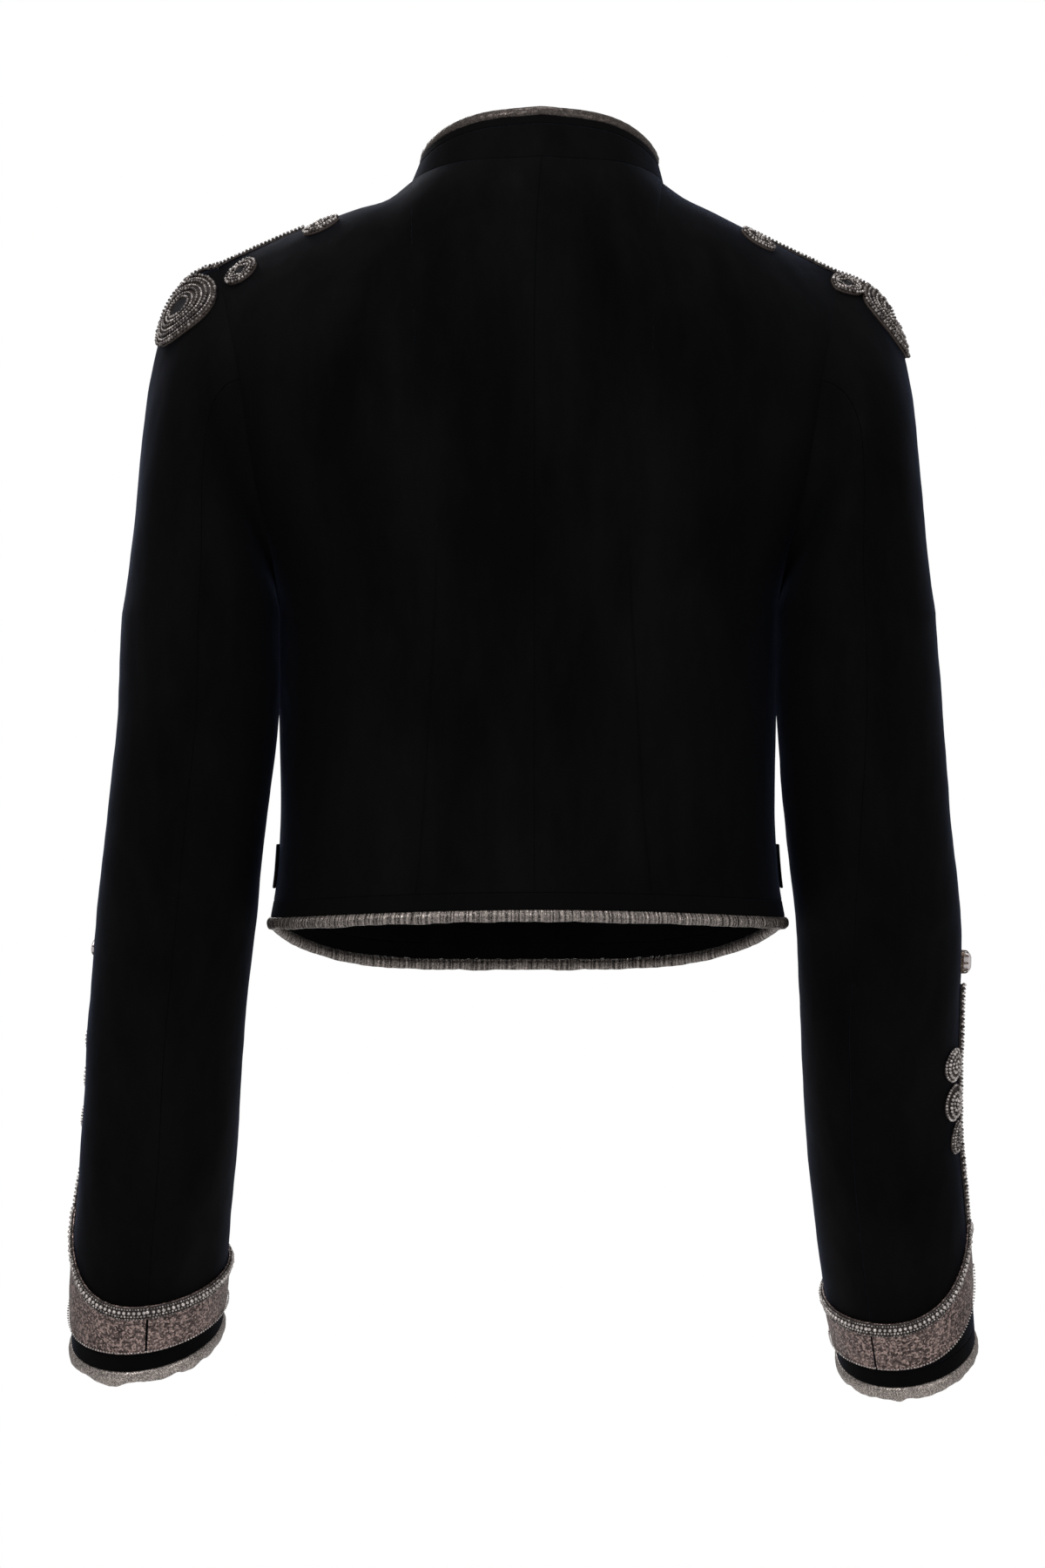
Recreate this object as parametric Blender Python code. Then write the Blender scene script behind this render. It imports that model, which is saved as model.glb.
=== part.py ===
"""Cropped velvet jacket with a stand collar, in its worn shape, made piece by piece.

Metres, +Z up, the front faces -Y and the wearer's left is +X. The origin is the middle of the
neck base, level with the side-neck points.
"""

import math
from collections import namedtuple

import bmesh
import bpy
import numpy as np
from mathutils import Vector
from mathutils.bvhtree import BVHTree

for old in list(bpy.data.objects):
    bpy.data.objects.remove(old, do_unlink=True)

# Cloth sizes
WALL = 0.0018
SEAM = 0.0003
LAY = 0.0005
CUFF_LAYER = 0.0011

# Body sections: the armhole edge cuts each section short of its full half width
BodySection = namedtuple("BodySection", "height edge half_width back front")
BODY_SECTIONS = (
    BodySection(-0.450, 0.1420, 0.1420, 0.0990, 0.0960),
    BodySection(-0.405, 0.1405, 0.1405, 0.0985, 0.0955),
    BodySection(-0.385, 0.1370, 0.1370, 0.0970, 0.0955),
    BodySection(-0.350, 0.1343, 0.1343, 0.0950, 0.0965),
    BodySection(-0.300, 0.1346, 0.1346, 0.0935, 0.0990),
    BodySection(-0.225, 0.1352, 0.1352, 0.0930, 0.1090),
    BodySection(-0.206, 0.1385, 0.1430, 0.0935, 0.1110),
    BodySection(-0.170, 0.1470, 0.1600, 0.0945, 0.1100),
    BodySection(-0.140, 0.1520, 0.1720, 0.0945, 0.1040),
    BodySection(-0.110, 0.1560, 0.1820, 0.0935, 0.0920),
)
SECTION_POWER = 2.2
UNDERARM = -0.225
YOKE = -0.110
YOKE_EDGE = 0.1560

# Neck and shoulder line
NECK_HALF = 0.0680
NECK_SIDE_Y = 0.0050
NECK_BACK = (0.0720, 0.0415)
NECK_FRONT = (-0.0660, -0.0349)
NECK_POWER = 1.6
NECK_SHIFT = -0.0050
SHOULDER_X = 0.1690
SHOULDER_Y = -0.0020
SHOULDER_Z = -0.0460
NECK_COLUMN = NECK_HALF / SHOULDER_X
SHOULDER_BEND = 1.2

# How far each shoulder line sags below a straight one, by fraction from neck to sleeve head
ShoulderSag = namedtuple("ShoulderSag", "out left right")
SHOULDER_SAGS = (
    ShoulderSag(0.00, 0.0000, 0.0000),
    ShoulderSag(0.10, 0.0036, 0.0024),
    ShoulderSag(0.30, 0.0012, 0.0024),
    ShoulderSag(0.60, -0.0006, 0.0024),
    ShoulderSag(1.00, 0.0000, 0.0026),
)

# Hem line, height by fraction of the half width
HEM_CENTRE_BACK = -0.400
HEM_SIDE = -0.406
HEM_CENTRE_FRONT = -0.432
HEM_BINDING = 0.0065
HEM_BAND = 0.0090
HEM_ROLL = 0.0046

# Collar: stand, velvet edge and binding
COLLAR_BACK = 0.0294
COLLAR_SIDE = 0.0165
COLLAR_FRONT = 0.0240
COLLAR_EDGE = 0.0046
COLLAR_BINDING = 0.0054
COLLAR_ROLL = 0.0036
COLLAR_LEAN = {"side": 0.24, "back": 0.30, "left_side": 0.20}

# Sleeve rings below the bicep, each side as it hangs
SleeveSection = namedtuple("SleeveSection", "height left right y half_left half_right half_depth tilt")
SLEEVE_SECTIONS = (
    SleeveSection(-0.235, 0.1783, 0.1786, 0.014, 0.0421, 0.0426, 0.054, 0.0),
    SleeveSection(-0.290, 0.1796, 0.1804, 0.016, 0.0430, 0.0444, 0.052, 3.0),
    SleeveSection(-0.335, 0.1848, 0.1843, 0.010, 0.0426, 0.0446, 0.050, 7.0),
    SleeveSection(-0.410, 0.1929, 0.1934, -0.009, 0.0428, 0.0444, 0.047, 14.0),
    SleeveSection(-0.460, 0.1981, 0.1952, -0.024, 0.0422, 0.0427, 0.046, 17.5),
    SleeveSection(-0.510, 0.2012, 0.1977, -0.040, 0.0424, 0.0415, 0.045, 20.0),
    SleeveSection(-0.590, 0.2081, 0.2084, -0.072, 0.0426, 0.0408, 0.043, 23.0),
    SleeveSection(-0.660, 0.2121, 0.2202, -0.104, 0.0410, 0.0373, 0.042, 24.0),
)
BICEP = -0.235
CAP_ARRIVE = 1.2
SleeveSide = namedtuple("SleeveSide", "sign end side_rise twist cap_leave cuff_turn")
SLEEVE_SIDE = {
    "left": SleeveSide(1.0, -0.641, -0.16, 0.0, 0.70, 228.0),
    "right": SleeveSide(-1.0, -0.652, 0.16, 28.0, 0.84, 208.0),
}
TWIST_FROM = -0.26
TWIST_TO = -0.46
CUFF_BINDING = 0.0080
CUFF_BAND = 0.0095
CUFF_ROLL = 0.0050
CUFF_LAYER_TALL = 0.0280
CUFF_POINT_UPPER = 0.0360
CUFF_POINT_LOWER = 0.0300
CUFF_POINT_REACH = 95.0
CUFF_POINT_POWER = 2.4
CUFF_POINT_HEIGHT = -0.560

# Angle of the ornament line round each sleeve, by height
OrnamentTurn = namedtuple("OrnamentTurn", "height left right")
ORNAMENT_TURNS = (
    OrnamentTurn(-0.423, 206.0, 198.0),
    OrnamentTurn(-0.495, 226.0, 198.0),
    OrnamentTurn(-0.560, 190.0, 198.0),
)

# Drag folds seen on the back, from one place to another, across and up
Fold = namedtuple("Fold", "x0 z0 x1 z1 width depth")
BACK_FOLDS = (
    Fold(-0.034, -0.030, -0.082, -0.088, 0.012, 0.0028),
    Fold(-0.076, -0.080, -0.120, -0.178, 0.013, 0.0040),
    Fold(-0.084, -0.168, -0.122, -0.305, 0.012, 0.0036),
    Fold(0.100, -0.070, 0.128, -0.180, 0.012, 0.0036),
    Fold(0.112, -0.215, 0.126, -0.300, 0.011, 0.0030),
)
SLEEVE_FOLDS = (
    Fold(0.214, -0.150, 0.196, -0.192, 0.009, 0.0022),
    Fold(0.208, -0.205, 0.190, -0.330, 0.011, 0.0030),
    Fold(-0.172, -0.130, -0.202, -0.165, 0.009, 0.0024),
    Fold(-0.158, -0.178, -0.184, -0.190, 0.009, 0.0022),
    Fold(-0.214, -0.182, -0.196, -0.216, 0.010, 0.0024),
    Fold(-0.216, -0.222, -0.184, -0.262, 0.010, 0.0026),
    Fold(-0.226, -0.350, -0.180, -0.392, 0.012, 0.0024),
)

# Mesh counts
NECK_STEPS = 4
SHOULDER_STEPS = 7
LOWER_LEVELS = (0.14, 0.30, 0.48, 0.66, 0.84, 1.0)
ARM_LEVELS = (1.165, 1.478, 1.739, 2.0)
TOP_LEVELS = (2.30, 2.56, 2.80, 3.0)
CAP_STEPS = (0.0, 0.11, 0.23, 0.37, 0.54, 0.76, 1.0)
SLEEVE_STEPS = 9
HIND_SEAM = 4
FORE_SEAM = {"left": 14, "right": 13}
RING = 16

# Shoulder motifs: a place just off the cloth that each lies nearest to, and half sizes
Motif = namedtuple("Motif", "name side x y z half_long half_short around rings lay")
SHOULDER_MOTIFS = (
    Motif("large", "left", 0.1985, 0.022, -0.0615, 0.0245, 0.0230, 16, 5, 0.00125),
    Motif("middle", "left", 0.1655, 0.030, -0.0385, 0.0098, 0.0088, 12, 3, 0.00075),
    Motif("small", "left", 0.1175, 0.030, -0.0150, 0.0105, 0.0080, 12, 3, 0.00075),
    Motif("large", "right", -0.2055, 0.004, -0.0690, 0.0245, 0.0195, 16, 5, 0.00115),
    Motif("middle", "right", -0.1785, 0.019, -0.0400, 0.0098, 0.0088, 12, 3, 0.00075),
    Motif("small", "right", -0.1310, 0.030, -0.0210, 0.0105, 0.0080, 12, 3, 0.00075),
)
MOTIF_TALL = 0.0024
MOTIF_TAPER = 0.12
CORD_HALF = 0.0022
CORD_TALL = 0.0024
SHOULDER_CORD_SPAN = (0.130, 0.168)

# Sleeve ornament: height, distance from the cord toward the back, half sizes
SleeveMotif = namedtuple("SleeveMotif", "name height aside half_long half_short")
SLEEVE_MOTIFS = (
    SleeveMotif("scroll_upper", -0.4740, 0.0142, 0.0090, 0.0102),
    SleeveMotif("scroll_lower", -0.4950, 0.0142, 0.0098, 0.0102),
    SleeveMotif("leaf", -0.5160, 0.0112, 0.0088, 0.0066),
)
STONE_HEIGHT = -0.4230
STONE_RADIUS = 0.0062
STONE_TALL = 0.0055
TAB_HEIGHTS = (-0.3840, -0.3600)
TAB_BACK = 0.060
TAB_FRONT = 0.26
TAB_TALL = 0.0013

Finish = namedtuple("Finish", "colour metallic roughness")
FINISHES = {
    "velvet": Finish((0.010, 0.011, 0.020), 0.0, 0.85),
    "edge_velvet": Finish((0.005, 0.005, 0.008), 0.0, 0.90),
    "silver_binding": Finish((0.33, 0.31, 0.30), 0.6, 0.45),
    "collar_metallic": Finish((0.17, 0.15, 0.145), 0.6, 0.50),
    "cuff_metallic": Finish((0.28, 0.24, 0.23), 0.6, 0.45),
    "beadwork": Finish((0.20, 0.185, 0.18), 0.7, 0.35),
    "stone": Finish((0.72, 0.64, 0.66), 0.0, 0.08),
}


def blend(a, b, t):
    return a + (b - a) * t


def ease(t):
    t = np.clip(t, 0.0, 1.0)
    return t * t * (3.0 - 2.0 * t)


def hermite(p0, m0, p1, m1, t):
    """Cubic from p0 to p1 with end slopes m0 and m1."""
    s = 1.0 - t
    return (1 + 2 * t) * s * s * p0 + t * s * s * m0 + t * t * (3 - 2 * t) * p1 - t * t * s * m1


def through(stations, values, at):
    """Smooth curve through the rows of a table."""
    order = np.argsort(stations)
    s = np.asarray(stations, float)[order]
    v = np.asarray(values, float)[order]
    slope = np.gradient(v, s)
    i = np.clip(np.searchsorted(s, at) - 1, 0, len(s) - 2)
    step = s[i + 1] - s[i]
    return hermite(v[i], slope[i] * step, v[i + 1], slope[i + 1] * step, (at - s[i]) / step)


def column(table, name):
    return [getattr(row, name) for row in table]


def fold_height(folds, x, z):
    """Rounded ridges along the fold lines of a table, seen from behind."""
    total = np.zeros_like(x)
    for fold in folds:
        dx, dz = fold.x1 - fold.x0, fold.z1 - fold.z0
        along = ((x - fold.x0) * dx + (z - fold.z0) * dz) / (dx * dx + dz * dz)
        off_x = x - fold.x0 - along * dx
        off_z = z - fold.z0 - along * dz
        across = np.sqrt(off_x ** 2 + off_z ** 2) / fold.width
        reach = ease((along + 0.15) / 0.4) * ease((1.15 - along) / 0.4)
        total += fold.depth * np.exp(-across ** 2) * reach
    return total


def hem_height(face, f):
    if face == "back":
        return blend(HEM_CENTRE_BACK, HEM_SIDE, f ** 2)
    return blend(HEM_SIDE, HEM_CENTRE_FRONT, ease(np.sqrt(np.clip(1.0 - f ** 2, 0.0, 1.0))))


def top_line(face, f):
    """Neck curve, then shoulder seam, as x and y by fraction of the half width."""
    x = SHOULDER_X * f
    depth = NECK_BACK[0] if face == "back" else NECK_FRONT[0]
    turn = np.sqrt(np.clip(1.0 - (x / NECK_HALF) ** 2, 0.0, 1.0))
    out = np.clip((x - NECK_HALF) / (SHOULDER_X - NECK_HALF), 0.0, 1.0)
    return x, blend(NECK_SIDE_Y, depth, turn) + (SHOULDER_Y - NECK_SIDE_Y) * out


def crest_height(face, side, f):
    """Height at which the cloth turns over the shoulder, and would turn inside the neck."""
    out = np.clip((SHOULDER_X * f - NECK_HALF) / (SHOULDER_X - NECK_HALF), 0.0, 1.0)
    within = np.clip(f / NECK_COLUMN, 0.0, 1.0)
    outs = column(SHOULDER_SAGS, "out")
    left = through(outs, column(SHOULDER_SAGS, "left"), out)
    right = through(outs, column(SHOULDER_SAGS, "right"), out)
    sag = np.where(np.asarray(side) > 0, left, right)
    crest = NECK_BACK[1] if face == "back" else NECK_FRONT[1]
    return crest * (1.0 - within ** NECK_POWER) + SHOULDER_Z * out - sag


def neck_share(f):
    """How far the neck's small sideways shift reaches along the shoulder."""
    return 1.0 - ease((f - NECK_COLUMN) / (1.0 - NECK_COLUMN))


def body_at(face, side, f, level):
    """Middle of the cloth: level 0 hem, 1 underarm, 2 yoke, 3 neck and shoulder."""
    f, level = np.broadcast_arrays(np.asarray(f, float), np.asarray(level, float))
    heights = column(BODY_SECTIONS, "height")
    low = blend(hem_height(face, f), UNDERARM, level)
    z = np.where(level <= 1.0, low, blend(UNDERARM, YOKE, np.clip(level - 1.0, 0.0, 1.0)))
    edge = through(heights, column(BODY_SECTIONS, "edge"), z)
    half = np.maximum(through(heights, column(BODY_SECTIONS, "half_width"), z), edge)
    depth = through(heights, column(BODY_SECTIONS, face), z)
    x = edge * f
    y = depth * np.clip(1.0 - (x / half) ** SECTION_POWER, 0.0, 1.0) ** (1.0 / SECTION_POWER)
    y = y if face == "back" else -y
    t = np.clip(level - 2.0, 0.0, 1.0)
    top_x, top_y = top_line(face, f)
    ridge = np.where(f < NECK_COLUMN, NECK_SIDE_Y, top_y)
    reach = np.sqrt(np.clip(1.0 - (top_y - ridge) / (y - ridge), 0.0, 1.0))
    bend = 1.0 + SHOULDER_BEND * (1.0 - f ** 2)
    climb = 1.0 - np.clip(1.0 - t * reach, 0.0, 1.0) ** bend
    x = np.where(level > 2.0, blend(YOKE_EDGE * f, top_x, t), x)
    y = np.where(level > 2.0, ridge + (y - ridge) * (1.0 - (t * reach) ** 2), y)
    z = np.where(level > 2.0, blend(YOKE, crest_height(face, side, f), climb), z)
    x = x * side + NECK_SHIFT * neck_share(f) * t * t
    if face == "back":
        mask = (1.0 - f ** 10) * ease(f / 0.12) * ease((3.0 - level) / 0.25)
        y = y + fold_height(BACK_FOLDS, x, z) * mask
    return np.stack([x, y, z], axis=-1)


def ring_at(which, angle, height):
    """A point of the sleeve below the bicep; angle 0 inside, 90 back, 180 outside."""
    spec = SLEEVE_SIDE[which]
    heights = column(SLEEVE_SECTIONS, "height")
    centre = through(heights, column(SLEEVE_SECTIONS, which), height)
    half = through(heights, column(SLEEVE_SECTIONS, "half_" + which), height)
    depth = through(heights, column(SLEEVE_SECTIONS, "half_depth"), height)
    tilt = np.tan(np.radians(through(heights, column(SLEEVE_SECTIONS, "tilt"), height)))
    twist = spec.twist * ease((height - TWIST_FROM) / (TWIST_TO - TWIST_FROM))
    turn = np.radians(angle - twist)
    out, back = -np.cos(turn), np.sin(turn)
    rise = spec.side_rise * ease((height + 0.47) / (spec.end + 0.47))
    x = centre + half * out
    y = through(heights, column(SLEEVE_SECTIONS, "y"), height) + depth * back
    z = height - depth * back * tilt + rise * half * out
    puff = fold_height(SLEEVE_FOLDS, spec.sign * x, z) * ease(back / 0.4)
    return np.stack([spec.sign * (x + puff * out), y + puff * back, z], axis=-1)


def ornament_turn(which, height):
    """Angle of the ornament line at a height."""
    return through(column(ORNAMENT_TURNS, "height"), column(ORNAMENT_TURNS, which), height)


def cuff_sweep(turns, peak):
    """How far an edge of the taupe cuff rises toward its point, 0 to 1."""
    away = np.abs((turns * 360.0 - peak + 180.0) % 360.0 - 180.0)
    return np.clip(1.0 - away / CUFF_POINT_REACH, 0.0, 1.0) ** CUFF_POINT_POWER


def armhole_at(which, turn):
    """Armhole edge: turn 0 underarm, 0.5 shoulder, 1 underarm again, back first."""
    sign = SLEEVE_SIDE[which].sign
    stations = np.array((1.0,) + ARM_LEVELS + TOP_LEVELS)
    steps = np.linspace(0.0, 1.0, len(stations))
    turn = np.asarray(turn, float)
    up = 1.0 - np.abs(1.0 - 2.0 * turn)
    level = np.interp(up, steps, stations)
    back = body_at("back", sign, np.ones_like(turn), level)
    front = body_at("front", sign, np.ones_like(turn), level)
    return np.where((turn <= 0.5)[..., None], back, front)


def sleeve_at(which, turn, level):
    """Middle of the sleeve cloth: level 0 armhole, 1 bicep, then on to 2 at the cuff end."""
    turn, level = np.broadcast_arrays(np.asarray(turn, float), np.asarray(level, float))
    spec = SLEEVE_SIDE[which]
    angle = 360.0 * turn
    height = blend(BICEP, spec.end, np.clip(level - 1.0, 0.0, 1.1))
    arm = ring_at(which, angle, height)
    start = armhole_at(which, turn)
    stop = ring_at(which, angle, np.full_like(turn, BICEP))
    chord = np.linalg.norm(stop - start, axis=-1)[..., None]
    upper = (0.5 - 0.5 * np.cos(np.radians(angle)))[..., None]
    leave = np.concatenate([blend(0.98, 0.985, upper), 0 * upper, blend(-0.20, -0.145, upper)], axis=-1)
    arrive = np.concatenate([blend(0.02, 0.19, upper), 0 * upper, blend(-1.0, -0.98, upper)], axis=-1)
    flip = np.array((spec.sign, 1.0, 1.0))
    t = np.clip(level, 0.0, 1.0)[..., None]
    cap = hermite(start, leave * flip * chord * spec.cap_leave, stop, arrive * flip * chord * CAP_ARRIVE, t)
    out = (-np.cos(np.radians(angle)))[..., None]
    back = np.sin(np.radians(angle))[..., None]
    puff = fold_height(SLEEVE_FOLDS, cap[..., 0], cap[..., 2])[..., None] * ease(back / 0.4) * ease(t / 0.25)
    push = np.concatenate([spec.sign * out, back, 0.0 * out], axis=-1) * puff
    return np.where((level <= 1.0)[..., None], cap + push, arm)


def collar_at(side, face, f, rise):
    """Middle of the collar cloth; rise 0 at the neck seam, 1 at the top edge."""
    f, rise = np.broadcast_arrays(np.asarray(f, float), np.asarray(rise, float))
    base = body_at(face, side, f, 3.0)
    depth = (NECK_BACK if face == "back" else NECK_FRONT)[0]
    around = np.clip((base[..., 1] - NECK_SIDE_Y) / (depth - NECK_SIDE_Y), 0.0, 1.0)
    tall = blend(COLLAR_SIDE, COLLAR_BACK if face == "back" else COLLAR_FRONT, around)
    inward = np.stack([NECK_SHIFT - base[..., 0], -(base[..., 1] - NECK_SIDE_Y), 0 * tall], axis=-1)
    inward /= np.linalg.norm(inward, axis=-1)[..., None]
    lean = blend(COLLAR_LEAN["side"], COLLAR_LEAN["back"], around)
    lean = lean + np.where(np.asarray(side) > 0, COLLAR_LEAN["left_side"] * (1.0 - around) ** 3, 0.0)
    lean = lean[..., None]
    move = inward * lean + np.array((0.0, -0.04, 0.965))
    return base + move * (tall * rise)[..., None]


def grid_normals(shape, points):
    """Unit normals of a grid, by differences of its neighbours."""
    rows = np.gradient(points, axis=0)
    cols = np.gradient(points, axis=1)
    if shape == "ring":
        cols = np.roll(points, -1, axis=1) - np.roll(points, 1, axis=1)
    normal = np.cross(cols, rows)
    size = np.linalg.norm(normal, axis=-1)[..., None]
    return normal / np.maximum(size, 1e-12)


def face_out(points, normals, inside):
    """Turn the normals so that they point away from a line inside the hollow."""
    away = points - inside
    flip = np.sign(np.sum(away * normals))
    return normals * flip


def share_seams(pieces):
    """Give points that meet at a seam one offset, so that the walls are mitred there."""
    meeting = {}
    for name, piece in pieces.items():
        points = piece["points"]
        rows, cols = points.shape[:2]
        for i in range(rows):
            for j in range(cols):
                border = i in (0, rows - 1) or (not piece["ring"] and j in (0, cols - 1))
                if border:
                    key = tuple(np.round(points[i, j] / 2e-4).astype(int))
                    meeting.setdefault(key, []).append((name, i, j))
    for members in meeting.values():
        normals = np.array([pieces[n]["normals"][i, j] for n, i, j in members])
        offset = np.linalg.lstsq(normals, np.ones(len(normals)), rcond=0.12)[0]
        size = np.linalg.norm(offset)
        offset = offset * min(1.0, 1.9 / max(size, 1e-9))
        for n, i, j in members:
            pieces[n]["offsets"][i, j] = offset


def pull_back(points, ring, gap=SEAM):
    """Draw the edges of a piece back by half the seam gap."""
    moved = points.copy()
    half = gap / 2

    def step(a, b):
        way = b - a
        return way / np.maximum(np.linalg.norm(way, axis=-1)[..., None], 1e-9) * half

    moved[0] += step(points[0], points[1])
    moved[-1] += step(points[-1], points[-2])
    if not ring:
        moved[:, 0] += step(points[:, 0], points[:, 1])
        moved[:, -1] += step(points[:, -1], points[:, -2])
    return moved


COLLECTION = bpy.data.collections.new("velvet_jacket")
bpy.context.scene.collection.children.link(COLLECTION)


def finish_mesh(name, mesh_bm, finish):
    """Turn a closed bmesh into a named object with its own material."""
    bmesh.ops.triangulate(mesh_bm, faces=mesh_bm.faces, quad_method="SHORT_EDGE")
    bmesh.ops.recalc_face_normals(mesh_bm, faces=mesh_bm.faces)
    mesh = bpy.data.meshes.new(name)
    mesh_bm.to_mesh(mesh)
    mesh_bm.free()
    material = bpy.data.materials.new(name)
    material.use_nodes = True
    shader = material.node_tree.nodes["Principled BSDF"]
    look = FINISHES[finish]
    shader.inputs["Base Color"].default_value = (*look.colour, 1.0)
    shader.inputs["Metallic"].default_value = look.metallic
    shader.inputs["Roughness"].default_value = look.roughness
    mesh.materials.append(material)
    made = bpy.data.objects.new(name, mesh)
    COLLECTION.objects.link(made)
    return made


def make_wall(name, outer, inner, finish, ring=False):
    """Close two like grids of points into one wall."""
    rows, cols = outer.shape[:2]
    shell = bmesh.new()
    skins = []
    for grid in (outer, inner):
        skins.append([[shell.verts.new(tuple(grid[i, j])) for j in range(cols)] for i in range(rows)])
    spans = cols if ring else cols - 1
    for k, skin in enumerate(skins):
        for i in range(rows - 1):
            for j in range(spans):
                n = (j + 1) % cols
                corner = [skin[i][j], skin[i][n], skin[i + 1][n], skin[i + 1][j]]
                shell.faces.new(corner if k == 0 else corner[::-1])
    for i in (0, rows - 1):
        for j in range(spans):
            n = (j + 1) % cols
            shell.faces.new((skins[0][i][j], skins[0][i][n], skins[1][i][n], skins[1][i][j]))
    if not ring:
        for j in (0, cols - 1):
            for i in range(rows - 1):
                shell.faces.new((skins[0][i][j], skins[0][i + 1][j], skins[1][i + 1][j], skins[1][i][j]))
    return finish_mesh(name, shell, finish)


def make_tube(name, rings, finish, closed):
    """Close a row of like rings of points into a tube, capped unless it runs round."""
    count, around = rings.shape[:2]
    tube = bmesh.new()
    verts = [[tube.verts.new(tuple(p)) for p in ring] for ring in rings]
    for i in range(count if closed else count - 1):
        n = (i + 1) % count
        for j in range(around):
            m = (j + 1) % around
            tube.faces.new((verts[i][j], verts[i][m], verts[n][m], verts[n][j]))
    if not closed:
        tube.faces.new(verts[0][::-1])
        tube.faces.new(verts[-1])
    return finish_mesh(name, tube, finish)


def roll_rings(points, normals, along, tall, thick, around=8):
    """Oval rings round a line on the cloth, tall along the cloth and thick across it."""
    turn = np.linspace(0.0, 2 * math.pi, around, endpoint=False) + math.pi / around
    rows = []
    for p, n, a in zip(points, normals, along):
        rows.append([p + a * (tall / 2) * math.cos(t) + n * (thick / 2) * math.sin(t) for t in turn])
    return np.array(rows)


# Columns of the body: neck first, then the shoulder
neck_part = NECK_COLUMN * np.sin(np.linspace(0.0, math.pi / 2, NECK_STEPS + 1))
shoulder_from = math.asin(NECK_COLUMN)
shoulder_part = np.sin(np.linspace(shoulder_from, math.pi / 2, SHOULDER_STEPS + 1))
COLUMNS = np.concatenate([neck_part, shoulder_part[1:]])

pieces = {}


def add_piece(name, points, inside, finish, wall=WALL, ring=False):
    normals = face_out(points, grid_normals("ring" if ring else "open", points), inside)
    pieces[name] = {
        "points": points,
        "normals": normals,
        "offsets": normals.copy(),
        "finish": finish,
        "wall": wall,
        "ring": ring,
    }


def hem_level(face, f, distance):
    """Level that lies a given distance above the hem line."""
    return distance / (UNDERARM - hem_height(face, f))


SIDES = (("left", 1.0), ("right", -1.0))
TRIM = HEM_BINDING + HEM_BAND

# Back and front panels
for side_name, sign in SIDES:
    for face in ("back", "front"):
        f_grid = COLUMNS[None, :]
        bottom = hem_level(face, COLUMNS, TRIM)[None, :]
        upper = np.array(LOWER_LEVELS + ARM_LEVELS + TOP_LEVELS)[:, None]
        levels = np.concatenate([bottom, upper + 0.0 * f_grid], axis=0)
        grid = body_at(face, sign, f_grid, levels)
        spine = grid * np.array((0.25, 0.0, 1.0))
        add_piece(f"{face}_{side_name}", grid, spine, "velvet")

# Hem bands below the panels, one strip behind and one on each front
round_back = np.concatenate([-COLUMNS[:0:-1], COLUMNS])


def hem_strip(columns, face, low, high, sign=0.0):
    """Two rows of points along the hem; the sign of a column is its side unless one is given."""
    strip = []
    for distance in (low, high):
        row = []
        for f in columns:
            side = sign or math.copysign(1.0, f)
            row.append(body_at(face, side, abs(f), hem_level(face, abs(f), distance)))
        strip.append(row)
    return np.array(strip)


back_strip = hem_strip(round_back, "back", HEM_BINDING, TRIM)
add_piece("hem_band_back", back_strip, back_strip * np.array((0.3, 0.0, 1.0)), "edge_velvet")
for side_name, sign in SIDES:
    strip = hem_strip(COLUMNS, "front", HEM_BINDING, TRIM, sign)
    add_piece(f"hem_band_front_{side_name}", strip, strip * np.array((0.3, 0.0, 1.0)), "edge_velvet")

# Sleeves in two pieces, split at the hind-arm and fore-arm seams
turns = np.linspace(0.0, 1.0, RING + 1)
for side_name, sign in SIDES:
    length = BICEP - SLEEVE_SIDE[side_name].end
    stop = 2.0 - (CUFF_BINDING + CUFF_BAND) / length
    levels = np.concatenate([np.array(CAP_STEPS), np.linspace(1.0, stop, SLEEVE_STEPS + 1)[1:]])
    grid = sleeve_at(side_name, turns[None, :], levels[:, None])
    middle = grid[:, :-1].mean(axis=1)[:, None, :]
    ring_normals = face_out(grid[:, :-1], grid_normals("ring", grid[:, :-1]), middle)
    fore = FORE_SEAM[side_name]
    for piece_name, picks in (
        ("top_sleeve", list(range(HIND_SEAM, fore + 1))),
        ("under_sleeve", list(range(fore, RING)) + list(range(0, HIND_SEAM + 1))),
    ):
        name = f"{piece_name}_{side_name}"
        add_piece(name, grid[:, picks], middle, "velvet")
        pieces[name]["normals"] = ring_normals[:, picks].copy()
        pieces[name]["offsets"] = ring_normals[:, picks].copy()
    low = 2.0 - CUFF_BINDING / length
    cuff = sleeve_at(side_name, turns[None, :-1], np.array((stop, low))[:, None])
    add_piece(f"cuff_band_{side_name}", cuff, cuff.mean(axis=1)[:, None, :], "edge_velvet", ring=True)

# Collar: one strip for each layer, from the right front round the back to the left front
neck_path = [(-1.0, "front", f) for f in neck_part[:-1]] + [(-1.0, "back", f) for f in neck_part[:0:-1]]
neck_path += [(1.0, "back", f) for f in neck_part] + [(1.0, "front", f) for f in neck_part[-2::-1]]


def collar_strip(low, high, steps):
    rows = []
    for k in range(steps + 1):
        row = []
        for sign, face, f in neck_path:
            base = collar_at(sign, face, f, 0.0)
            top = collar_at(sign, face, f, 1.0)
            tall = np.linalg.norm(top - base)
            start = low / tall if low >= 0 else 1.0 + low / tall
            stop = high / tall if high > 0 else 1.0 + high / tall
            row.append(base + (top - base) * blend(start, stop, k / steps))
        rows.append(row)
    return np.array(rows)


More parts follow.
